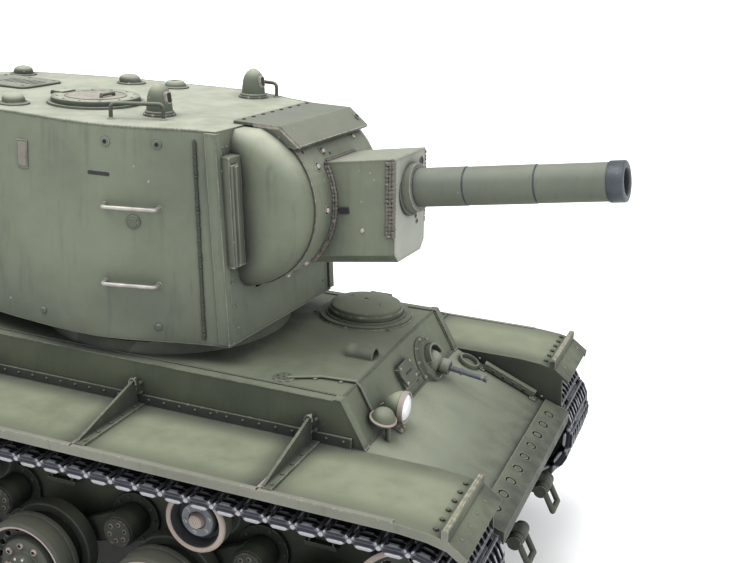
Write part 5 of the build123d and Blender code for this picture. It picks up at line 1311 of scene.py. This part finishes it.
def gun_details():
    """Bolts, weld beads, chips, sight hole and sleeve collar on the gun's shield and box."""
    bm = bmesh.new()
    near = mantlet_y[0]
    for angle_deg, y in ((21.0, near + 8.4), (-9.0, near + 8.4), (38.0, near + 12.5), (30.0, near + 17.5),
                         (33.0, mantlet_y[1] - 9.0), (-9.0, mantlet_y[1] - 7.0), (12.0, mantlet_y[1] - 7.0),
                         (-52.0, near + 8.0), (-70.0, near + 8.0)):
        angle = radians(angle_deg)
        out = Vector((cos(angle), 0, sin(angle)))
        base = out * SHIELD_R + Vector((0, y, 0))
        lathe(bm, base, out, [(-0.4, 2.0), (0.14, 1.95), (0.24, 1.55), (0.04, 1.5), (0.03, 0.0)], 18,
              [0, 0, 1, 1])
        lathe(bm, base, out, [(-0.2, 1.1), (0.7, 1.05), (1.05, 0.7), (1.15, 0.0)], 12, 2)
    for angle_deg, y in ((33.5, near + 4.3), (27.0, near + 22.0)):
        angle = radians(angle_deg)
        out = Vector((cos(angle), 0, sin(angle)))
        lathe(bm, out * SHIELD_R + Vector((0, y, 0)), out, [(-0.3, 0.7), (0.05, 0.65), (0.05, 0.0)], 12, 1)
    piece("shield_bolts", bm, "gun", [TURRET_PAINT, SHADE_BLACK, BARE_STEEL], GUN)

    bm = bmesh.new()
    half = 14.4
    for sign in (-1, 1):
        joint = []
        for k in range(12):
            angle = radians(20.0 - k * 6.6)
            joint.append((SHIELD_R * cos(angle) + 0.1, sign * (half + 0.3), SHIELD_R * sin(angle)))
        bead(bm, joint, 0.9)
        bead(bm, [p + Vector((1.2, 0, 0)) for p in map(Vector, joint)], 0.7)
        seam = [cast("mantlet", (200, sign * (half - 0.35), z), (-1, 0, 0), GUN)[0]
                for z in (11.6, 8.0, 4.0, -2.0, -8.0, -13.0, -17.5)]
        for step in (0.0, 1.3, 2.6):
            bead(bm, [Vector((p.x - 0.6 - step, sign * (half + 0.15), p.z)) for p in seam], 0.85)
    top = [cast("mantlet", (x, 0, 60), (0, 0, -1), GUN)[0] for x in (32.0, 33.0)]
    bead(bm, [(SHIELD_R * cos(0.40) + 0.2, y, top[0].z + 0.1) for y in (-half + 2, -5, 5, half - 2)], 0.7)
    piece("box_weld_beads", bm, "gun", WELD, GUN, angle=60)

    bm = bmesh.new()
    for dy, z, radius in ((10.2, 7.6, 1.9), (5.4, -13.2, 0.85), (6.6, -15.6, 0.85)):
        point, normal = cast("mantlet", (200, dy, z), (-1, 0, 0), GUN)
        lathe(bm, point, normal, [(-0.5, radius + 0.3), (0.1, radius + 0.3), (0.16, radius),
                                  (0.02, radius * 0.97),
                                  (0.01, 0.0)], 20, [0, 0, 1, 1])
    point, normal = cast("mantlet", (200, -10.6, BORE_Z), (-1, 0, 0), GUN)
    lathe(bm, (point.x - 1.0, 0, BORE_Z), (1, 0, 0), [(0, 10.9), (1.3, 10.9), (1.5, 10.6), (1.5, 9.65)], 48)
    point, normal = cast("mantlet", (42.0, -80, -10.0), (0, 1, 0), GUN)
    lathe(bm, (44.0, point.y, -14.6), normal, [(-0.3, 0.95), (0.3, 0.95), (0.7, 0.7), (0.85, 0.0)], 14, 2)
    prism(bm, soften([(-2.2, -1.2), (2.2, -1.2), (2.2, 1.2), (-2.2, 1.2)], 0.3, 2), -0.3, 0.5,
          on_face((37.0, point.y, -6.6), normal), 0.1, 1)
    piece("box_fittings", bm, "gun", [TURRET_PAINT, SHADE_BLACK, BARE_STEEL], GUN)


def barrel_piece():
    """Stepped barrel with two joint lines, a thick muzzle ring and an open bore."""
    ends = [(GUN.inverted() @ Vector(v.co)).x for v in NODES["barrel"].data.vertices]
    back, front = min(ends), max(ends)
    tip = front - 6.2
    outer = [(back, 8.3), (back + 0.3, 8.6), (back + 2.8, 8.6), (back + 3.0, 7.6), (64.0, 7.58)]
    for joint, before, after in ((84.0, 7.55, 7.4), (111.6, 7.36, 7.2)):
        outer += [(joint - 0.5, before), (joint - 0.35, before - 0.28), (joint + 0.1, before - 0.28),
                  (joint + 0.25, after)]
    outer += [(tip - 0.4, 7.14), (tip, 7.2), (tip + 0.25, 7.55), (tip + 0.6, 7.62), (front - 0.7, 7.6),
              (front - 0.2, 7.4), (front, 6.9), (front, 5.3), (front - 0.5, 4.9), (front - 1.4, 4.7),
              (BORE_END, 4.6), (BORE_END, 0.0)]
    tags = [0] * 5 + [1] * 3 + [0] + [1] * 3 + [0] * 2 + [1] * 7 + [2] * 3
    bm = bmesh.new()
    lathe(bm, (0, 0, BORE_Z), (1, 0, 0), outer, 64, tags[:len(outer) - 1])
    piece("howitzer_barrel", bm, "barrel", [BARREL_PAINT, GUN_METAL, SHADE_BLACK], GUN,
          replaces=["barrel"])


turret_roof_fittings()
rain_guard()
side_fittings()
turret_welds()
front_plate_details()
gun_details()
barrel_piece()


# ---- hull ------------------------------------------------------------------------------
PLATE_OUT = Vector((17.5, 0, 10.3)).normalized()      # outward from the driver's plate
GLACIS_OUT = Vector((18.6, 0, 43.1)).normalized()


def driver_plate(y, z):
    return Vector((EDGE + (HULL_ROOF - z) * 10.3 / 17.5, y, z))


def glacis(x, y):
    return Vector((x, y, FENDER_TOP - (x - EDGE - 10.3) * 18.6 / 43.1))


def headlight_and_horn():
    """Bowl with a chipped rim and an opal lens on a bolted bracket; domed horn and conduit."""
    x, y, z = EDGE + 17.0, -30.0, 95.0
    foot = glacis(x - 3.4, y)
    bm = bmesh.new()
    lathe(bm, (x, y, z), (-1, 0, 0), [
        (1.0, 5.3), (-0.3, 5.45), (-0.5, 5.7), (-0.45, 6.2), (0.2, 6.35), (1.5, 6.35), (1.7, 6.1), (3.0, 6.0),
        (4.6, 5.4), (6.2, 4.4), (7.7, 3.0), (8.8, 1.4), (9.2, 0.3), (9.22, 0.0)], 48,
        [1, 1, 1, 1, 1, 0, 0, 0, 0, 0, 0, 0, 0])
    tube(bm, [foot, foot + UP * 1.5, (x - 3.6, y, z - 7.4), (x - 3.8, y, z - 4.6)], 1.05, 14)
    space = on_face(foot, GLACIS_OUT)
    prism(bm, soften([(-2.6, -3.4), (2.6, -3.4), (2.6, 3.4), (-2.6, 3.4)], 1.0, 3), -0.3, 0.8, space, 0.2)
    for a, b in ((-1.5, -2.3), (1.5, -2.3), (-1.5, 2.3), (1.5, 2.3)):
        hex_bolt(bm, space(a, b, 0.8), GLACIS_OUT, 0.55, 0.45)
    for side in (-1, 1):
        brick(bm, (x - 5.2, y + side * 4.6 - 0.5, z - 4.4), (x - 2.2, y + side * 4.6 + 0.5, z - 0.6), 0.2)
    cable = [Vector((x - 9.0, y, z)), Vector((x - 10.3, y - 0.6, z - 0.8)),
             Vector((x - 11.2, y - 1.6, z - 3.4)),
             driver_plate(y - 2.4, 89.6) + PLATE_OUT * 0.5]
    tube(bm, cable, 0.5, 10)
    piece("headlight_bowl", bm, "hull", [ARMOUR, CHIPPED], replaces=["headlight"])

    bm = bmesh.new()
    lathe(bm, (x, y, z), (1, 0, 0), [(-0.9, 5.25), (-0.1, 5.25), (0.35, 4.9), (0.85, 4.0), (1.2, 2.8),
                                     (1.4, 1.4),
                                     (1.45, 0.0)], 48)
    piece("headlight_lens", bm, "hull", LENS, replaces=["headlight"])

    hx, hy, hz = EDGE + 12.2, -41.8, 94.6
    low = glacis(hx + 2.4, hy)
    bm = bmesh.new()
    lathe(bm, (hx, hy, hz), (0.25, -0.1, 1.0), [
        (-2.6, 1.6), (-1.6, 3.6), (-0.9, 4.9), (-0.4, 5.3), (0.1, 5.3), (0.3, 4.9), (0.4, 4.5), (1.7, 4.2),
        (3.0, 3.3), (3.9, 2.1), (4.4, 0.8), (4.45, 0.0)], 40, [0, 0, 1, 1, 1, 0, 0, 0, 0, 0, 0])
    tube(bm, [low - UP * 0.3, (hx + 2.0, hy, hz - 4.0), (hx + 0.6, hy, hz - 1.6)], 1.05, 12)
    prism(bm, soften([(hx - 5.4, hz - 2.2), (hx - 2.6, hz - 2.2), (hx - 2.6, hz + 1.0), (hx - 4.6, hz + 1.0)],
                     0.4, 2), hy - 0.5, hy + 0.5, upright, 0.12)
    route = [Vector((hx - 2.4, hy + 1.2, hz - 1.8)), driver_plate(hy + 2.2, 95.5) + PLATE_OUT * 1.0,
             driver_plate(hy + 2.6, 98.0) + PLATE_OUT * 0.75, driver_plate(hy + 2.8,
                                                                           103.4) + PLATE_OUT * 0.75,
             Vector((EDGE - 0.6, hy + 2.8, HULL_ROOF + 0.9)), Vector((EDGE - 3.0, hy + 2.8, HULL_ROOF + 0.7)),
             Vector((EDGE - 14.0, hy + 1.8, HULL_ROOF + 0.6)), Vector((EDGE - 25.6, hy - 4.6,
                                                                       HULL_ROOF + 0.6))]
    tube(bm, route, 0.62, 10)
    for x_clip, y_clip in ((EDGE - 6.0, hy + 2.5), (EDGE - 16.0, hy + 0.9)):
        brick(bm, (x_clip - 0.7, y_clip - 1.9, HULL_ROOF - 0.1), (x_clip + 0.7, y_clip + 1.9,
                                                                  HULL_ROOF + 0.45), 0.12)
    piece("horn_and_conduit", bm, "hull", [ROUND_PAINT, CHIPPED], replaces=["headlight"])


def machine_gun():
    """Armoured ball, thick collar and thin barrel; and its bolted seat on the hull."""
    centre = Vector(JOINTS["mg_swing"]["pos_m"]) / MM
    aim = Vector((cos(radians(8)), 0, -sin(radians(8))))
    ball = [(5.32 * sin(t), 5.32 * cos(t)) for t in (radians(-90 + 145 * k / 18) for k in range(19))]
    bm = bmesh.new()
    lathe(bm, centre, aim, ball + [(4.9, 3.15), (5.4, 3.5), (8.2, 3.3), (8.8, 3.0), (9.0, 2.4), (8.6, 1.9),
                                   (8.7, 1.3), (13.6, 1.2), (13.8, 1.5), (14.8, 1.5), (15.0, 1.15),
                                   (24.2, 1.1),
                                   (24.4, 1.35), (25.8, 1.35), (26.0, 1.15), (26.0, 0.65), (23.0, 0.6),
                                   (23.0, 0)],
          36, [0] * 22 + [1] * 14)
    piece("mg_ball_and_barrel", bm, "mg_ball", [MANTLET_PAINT, HUB_METAL], replaces=["mg_ball"])

    seat = centre - PLATE_OUT * 1.2
    bm = bmesh.new()
    lathe(bm, seat, PLATE_OUT, [(-0.4, 11.6), (0.5, 11.6), (0.9, 11.2), (1.0, 9.9), (2.2, 9.3), (2.75, 8.9),
                                (2.75, 8.0), (0.6, 7.9)], 56)
    space = on_face(seat, PLATE_OUT)
    for i in range(10):
        angle = 2 * pi * (i + 0.5) / 10
        hex_bolt(bm, space(10.6 * cos(angle), 10.6 * sin(angle), 0.9), PLATE_OUT, 0.6, 0.5)
    shape = []
    for k in range(13):
        angle = pi * k / 12
        shape.append((6.9 * cos(angle), 1.0 + 6.2 * sin(angle)))
    for k in range(13):
        angle = pi * (12 - k) / 12
        shape.append((5.9 * cos(angle), 1.0 + 5.3 * sin(angle)))
    prism(bm, shape, 2.4, 5.6, space, 0.2, 1)
    piece("mg_seat", bm, "hull", [ROOF_PAINT, MANTLET_PAINT])


def visor():
    """Hexagonal vision plate with its slot, on the driver's plate."""
    bm = bmesh.new()
    space = on_face(driver_plate(-1.0, 95.9), PLATE_OUT)
    prism(bm, soften([(-7.4, 0.2), (-5.8, -4.6), (5.6, -4.6), (7.2, -0.4), (6.2, 4.6), (-6.0, 4.6)], 0.7, 2),
          1.5, 2.7, space, 0.3)
    prism(bm, soften([(-3.4, -0.45), (3.4, -0.45), (3.4, 0.45), (-3.4, 0.45)], 0.35, 2), 2.6, 2.78, space,
          0.04, 1)
    for a, b in ((-5.4, 3.2), (5.0, 3.2), (-5.0, -3.3), (4.8, -3.3)):
        rivet(bm, space(a, b, 2.7), PLATE_OUT, 0.6, 0.4)
    prism(bm, soften([(7.6, -6.6), (11.4, -6.6), (11.4, -3.4), (7.6, -3.4)], 0.4, 2), -0.2, 1.5, space, 0.2)
    prism(bm, [(8.3, -5.3), (10.7, -5.3), (10.7, -4.7), (8.3, -4.7)], 1.4, 1.58, space, 0.04, 1)
    piece("driver_visor", bm, "hull", [ROOF_PAINT, SHADE_BLACK])


def hatch_details():
    """Raised rings, the lifting hole and the locking bolts of the roof hatch."""
    x, y = HULL_HATCH
    bm = bmesh.new()
    lid = cast("hull_hatch", (x - 15.9, y, 200), (0, 0, -1))[0].z
    lathe(bm, (x, y, lid), UP, [(-0.3, 16.4), (0.25, 16.35), (0.35, 16.0), (0.35, 15.7), (-0.3, 15.5)], 72)
    for dx, dy, radius in ((0.0, 0.0, 1.0), (-7.6, 3.0, 0.55), (7.6, -3.0, 0.55)):
        point = cast("hull_hatch", (x + dx, y + dy, 200), (0, 0, -1))[0]
        lathe(bm, point, UP, [(-0.4, radius + 0.45), (0.12, radius + 0.4), (0.2, radius),
                              (0.04, radius * 0.95),
                              (0.03, 0.0)], 18, [0, 0, 1, 1])
    piece("hull_hatch_details", bm, "hull_hatch", [ROOF_PAINT, SHADE_BLACK])

    bm = bmesh.new()
    for k in range(2):
        angle = radians(200 + 118 * k)
        rivet(bm, (x + 22.4 * cos(angle), y + 22.4 * sin(angle), HULL_ROOF), UP, 1.0, 0.8)
    lathe(bm, (x, y, HULL_ROOF), UP, [(-0.2, 21.3), (0.3, 21.2), (0.45, 20.7), (0.3, 20.3)], 80)
    rosette = Vector((EDGE - 27.3, -45.8, HULL_ROOF))
    lathe(bm, rosette, UP, [(-0.2, 4.3), (0.3, 4.3), (0.5, 4.0), (0.5, 0.0)], 32)
    for i in range(7):
        angle = 2 * pi * i / 6
        spot = rosette + UP * 0.5 + Vector((cos(angle), sin(angle), 0)) * (2.5 if i < 6 else 0.0)
        lathe(bm, spot, UP, [(-0.2, 0.55), (0.03, 0.52), (0.03, 0.0)], 10, 1)
    piece("hull_roof_details", bm, "hull", [ROOF_PAINT, SHADE_BLACK])


def hull_welds():
    """Beads along the roof, the driver's plate, the side walls and the fenders' roots."""
    bm = bmesh.new()
    for side in (-1, 1):
        bead(bm, [(EDGE - 1.0, side * 52.2, HULL_ROOF + 0.15), (EDGE - 190.0, side * 52.2, HULL_ROOF + 0.15)],
             0.42)
        bead(bm, [driver_plate(side * 52.3, 104.6) + PLATE_OUT * 0.15, driver_plate(side * 52.3, 88.0)
                  + PLATE_OUT * 0.15], 0.5)
    bead(bm, [(EDGE - 0.2, -52.0, HULL_ROOF - 0.1), (EDGE - 0.2, 52.0, HULL_ROOF - 0.1)], 0.5)
    bead(bm, [glacis(EDGE + 10.5, -56.0) + UP * 0.1, glacis(EDGE + 10.5, 56.0) + UP * 0.1], 0.5)
    piece("hull_weld_beads", bm, "hull", BOLT_PAINT, angle=60)


def fender_fittings():
    """Bolt rows, panel joints and pale worn lips of both fenders."""
    bolts = bmesh.new()
    lips = bmesh.new()
    joints = (EDGE + 38.0, EDGE - 11.5, EDGE - 86.7, EDGE - 162.0, EDGE - 237.5, EDGE - 312.5, EDGE - 345.0)
    for side in (-1, 1):
        for i in range(50):
            x = EDGE + 3.0 - i * WALL_BOLT_PITCH
            rivet(bolts, (x, side * 58.1, FENDER_TOP + 2.5), (0, side, 0), 0.62, 0.5, 1)
        for a, b in zip(joints, joints[1:]):
            low_y, high_y = sorted((side * 97.5, side * 99.5))
            brick(lips, (b + 0.35, low_y, FENDER_TOP - 0.3), (a - 0.35, high_y, FENDER_TOP + 0.42), 0.15)
            if a < EDGE:
                low_y, high_y = sorted((side * 58.6, side * 97.3))
                brick(bolts, (a - 0.8, low_y, FENDER_TOP - 0.2), (a + 0.8, high_y, FENDER_TOP + 0.28), 0.08)
        for k in range(5):
            x = BRACKETS[0] - k * BRACKETS[1]
            for y in (63.0, 71.0, 79.0, 87.0, 95.0):
                hex_bolt(bolts, (x + 1.9, side * y, FENDER_TOP + 0.85), UP, 0.62, 0.5, 1, 0.3)
            for z in (3.4, 7.6):
                hex_bolt(bolts, (x + 1.4, side * 57.0, FENDER_TOP + z + 1.6), (0, side, 0), 0.7, 1.9, 1)
            arch = [Vector((x - 0.5 + 1.5 * cos(t), side * 60.6, FENDER_TOP + 9.3 + 2.2 * sin(t)))
                    for t in (pi * j / 8 for j in range(9))]
            tube(lips, arch, 0.42, 8, 1)
        for i in range(6):
            y = side * (62.5 + i * 6.6)
            found = cast("fenders", (EDGE + 51.2, y, 200), (0, 0, -1))
            hex_bolt(bolts, found[0], found[1], 0.95, 0.7, 1, i * 0.4)
        for i in range(4):
            y = side * (66.0 + i * 9.0)
            found = cast("fenders", (EDGE + 59.4, y, 200), (0, 0, -1))
            rivet(bolts, found[0], found[1], 0.7, 0.45)
        low_y, high_y = sorted((side * 58.4, side * 99.3))
        brick(lips, (EDGE + 54.6, low_y, FENDER_TOP + 1.2), (EDGE + 56.3, high_y, FENDER_TOP + 1.75), 0.2, 1)
        for i in range(6):
            x = EDGE + 22.0 + i * 6.0
            found = cast("fenders", (x, side * 40.0, glacis(x, 0).z + 1.8), (0, side, 0))
            rivet(bolts, found[0], found[1], 0.6, 0.45)
    piece("fender_bolts", bolts, "hull", [FENDER_PAINT, BOLT_PAINT])
    piece("fender_lips", lips, "hull", [LIP_PAINT, FENDER_PAINT])


def perforated_bar():
    """Channel with four holes above the glacis, beside the far fender's skirt."""
    bm = bmesh.new()
    back, front = glacis(EDGE + 24.5, 52.6), glacis(EDGE + 48.5, 53.6)
    along = (front - back).normalized()
    aside = Vector((0, 1, 0))
    out = along.cross(aside)
    if out.z < 0:
        out = -out
    length = (front - back).length

    def place(a, b, c):
        return back + along * a + aside * c + out * b

    prism(bm, [(0, 0.6), (length, 0.6), (length, 3.2), (0, 3.2)], -0.5, 0.3, place, 0.12)
    prism(bm, [(0, 2.6), (length, 2.6), (length, 3.2), (0, 3.2)], -0.5, 3.0, place, 0.12)
    for k in range(4):
        spot = back + along * length * (0.2 + 0.2 * k) + out * 1.7 - aside * 0.5
        socket(bm, spot, -aside, 0.62, lip=0.2, count=14)
    for base in (back, front):
        prism(bm, soften([(-2.2, -1.6), (2.2, -1.6), (2.2, 1.6), (-2.2, 1.6)], 0.6, 2), -0.2, 0.7,
              on_face(base, GLACIS_OUT), 0.15)
        hex_bolt(bm, base + GLACIS_OUT * 0.7 - aside * 1.0, GLACIS_OUT, 0.6, 0.5)
    lathe(bm, glacis(EDGE + 18.6, 50.2), GLACIS_OUT, [(-0.4, 5.0), (1.5, 5.0), (2.0, 4.7), (2.1, 4.1),
                                                      (1.5, 3.8),
                                                      (0.15, 3.7), (0.1, 0.0)], 36)
    piece("perforated_bar", bm, "hull", [ROUND_PAINT, SHADE_BLACK])


def lower_hull_details():
    """Bolts of the nose, the stops' fins and the rear plate."""
    bm = bmesh.new()
    for i in range(11):
        y = -50.0 + i * 10.0
        found = cast("hull_lower", (EDGE + 120.0, y, 60.0), (-1, 0, 0))
        rivet(bm, found[0], found[1], 1.0, 0.7)
        found = cast("hull_lower", (-400.0, y, 70.0), (1, 0, 0))
        rivet(bm, found[0], found[1], 1.0, 0.7)
    for side in (-1, 1):
        for k in range(6):
            x = EDGE - 1.8 - k * WHEEL_PITCH
            hex_bolt(bm, (x + 0.4, side * 62.0, 55.0), (0, side, 0), 1.1, 0.9)
            low_y, high_y = sorted((side * 57.2, side * 64.2))
            brick(bm, (x - 5.8, low_y, 49.4), (x - 4.9, high_y, 53.5), 0.15)
            brick(bm, (x + 4.0, low_y, 49.4), (x + 4.9, high_y, 52.5), 0.15)
        bead(bm, [(EDGE + 30.0, side * 57.1, FENDER_TOP - 12.0), (EDGE - 340.0, side * 57.1,
                                                                  FENDER_TOP - 12.0)], 0.5,
             spacing=1.4)
    piece("lower_hull_details", bm, "hull", DARK_SHADED_PAINT, angle=50)


def deck_details():
    """Bolt circles of the round covers, grille frames and slats, hinges and lifting eyes."""
    bm = bmesh.new()
    for i in range(12):
        angle = 2 * pi * i / 12
        hex_bolt(bm, (DECK - 45.0 + 15.6 * cos(angle), 15.6 * sin(angle), HULL_ROOF + 1.2), UP, 0.85, 0.6)
    lathe(bm, (DECK - 45.0, 0, HULL_ROOF + 1.2), UP, [(-0.3, 7.0), (0.6, 6.9), (0.9, 6.3), (1.1, 2.0),
                                                      (1.1, 0.0)], 48)
    for side in (-1, 1):
        base = Vector((EDGE - 319.0, side * 24.0, 0))
        point, normal = cast("engine_deck", (base.x, base.y, 200), (0, 0, -1))
        space = on_face(point, normal, (1, 0, 0))
        for i in range(10):
            angle = 2 * pi * i / 10
            hex_bolt(bm, space(11.3 * cos(angle), 11.3 * sin(angle), 0), normal, 0.8, 0.6)
        for a in (-2.6, 2.6):
            tube(bm, [space(a, -2.0, -0.2), space(a, -2.0, 2.0), space(a, 2.0, 2.0), space(a, 2.0, -0.2)],
                 0.55, 8)
        low_x, high_x = DECK - 60.6, DECK - 18.4
        for y_low, y_high in ((32.2, 33.8), (50.2, 51.8)):
            a, b = sorted((side * y_low, side * y_high))
            brick(bm, (low_x, a, HULL_ROOF - 0.2), (high_x, b, HULL_ROOF + 1.0), 0.2)
        for x in (low_x, high_x - 1.6):
            a, b = sorted((side * 33.6, side * 50.4))
            brick(bm, (x, a, HULL_ROOF - 0.2), (x + 1.6, b, HULL_ROOF + 0.95), 0.2)
        for i in range(14):
            x = low_x + 2.9 + i * 2.8
            a, b = side * 33.0, side * 51.0
            tube(bm, [(x, a, HULL_ROOF + 0.5), (x, (a + b) / 2, HULL_ROOF + 0.62), (x, b, HULL_ROOF + 0.5)],
                 0.32, 8)
        for i in range(9):
            hex_bolt(bm, (DECK - 6.0 - i * 17.0, side * 53.2, HULL_ROOF if i < 7 else 104.0), UP, 0.75, 0.6)
    for y in (-40.0, -20.0, 0.0, 20.0, 40.0):
        hex_bolt(bm, (DECK - 4.0, y, HULL_ROOF), UP, 0.8, 0.6)
    piece("deck_details", bm, "hull", ARMOUR)


def turret_lids():
    """Bolts of the turret's roof hatch and rear door, rear wall rivets and low side bosses."""
    bm = bmesh.new()
    x, y = ROOF_HATCH
    lid = cast("turret_hatch", (x + 12.0, y, 300), (0, 0, -1), TURRET)[0]
    for i in range(12):
        angle = 2 * pi * (i + 0.5) / 12
        rivet(bm, (x + 15.6 * cos(angle), y + 15.6 * sin(angle), lid.z), UP, 0.6, 0.42)
    lathe(bm, (x, y, lid.z), UP, [(-0.3, 12.6), (0.3, 12.5), (0.4, 12.1), (0.1, 11.9)], 64)
    piece("turret_hatch_details", bm, "turret_hatch", TURRET_PAINT, TURRET)

    bm = bmesh.new()
    for y in (-12.6, 12.6):
        for i in range(6):
            z = 126.0 + i * 9.2
            point, normal = cast("turret_door", (-200, y, z), (1, 0, 0), TURRET)
            rivet(bm, point, normal, 0.75, 0.5)
    for y in (-6.0, 0.0, 6.0):
        for z in (124.6, 173.4):
            point, normal = cast("turret_door", (-200, y, z), (1, 0, 0), TURRET)
            rivet(bm, point, normal, 0.75, 0.5)
    piece("turret_door_details", bm, "turret_door", TURRET_PAINT, TURRET)

    bm = bmesh.new()
    for sign in (-1, 1):
        for i in range(8):
            z = 120.0 + i * 9.0
            point, normal = cast("turret_shell", (-200, sign * 20.6, z), (1, 0, 0), TURRET)
            rivet(bm, point, normal, 0.7, 0.5)
        for x in (-100.0, -20.0, 30.0):
            point, normal = wall(x, 119.0, sign)
            lathe(bm, point, normal, [(-0.3, 1.5), (0.5, 1.4), (0.8, 1.0), (0.8, 0.0)], 20)
    piece("turret_rear_rivets", bm, "turret", TURRET_PAINT, TURRET)


headlight_and_horn()
machine_gun()
visor()
hatch_details()
hull_welds()
fender_fittings()
perforated_bar()
lower_hull_details()
deck_details()
turret_lids()
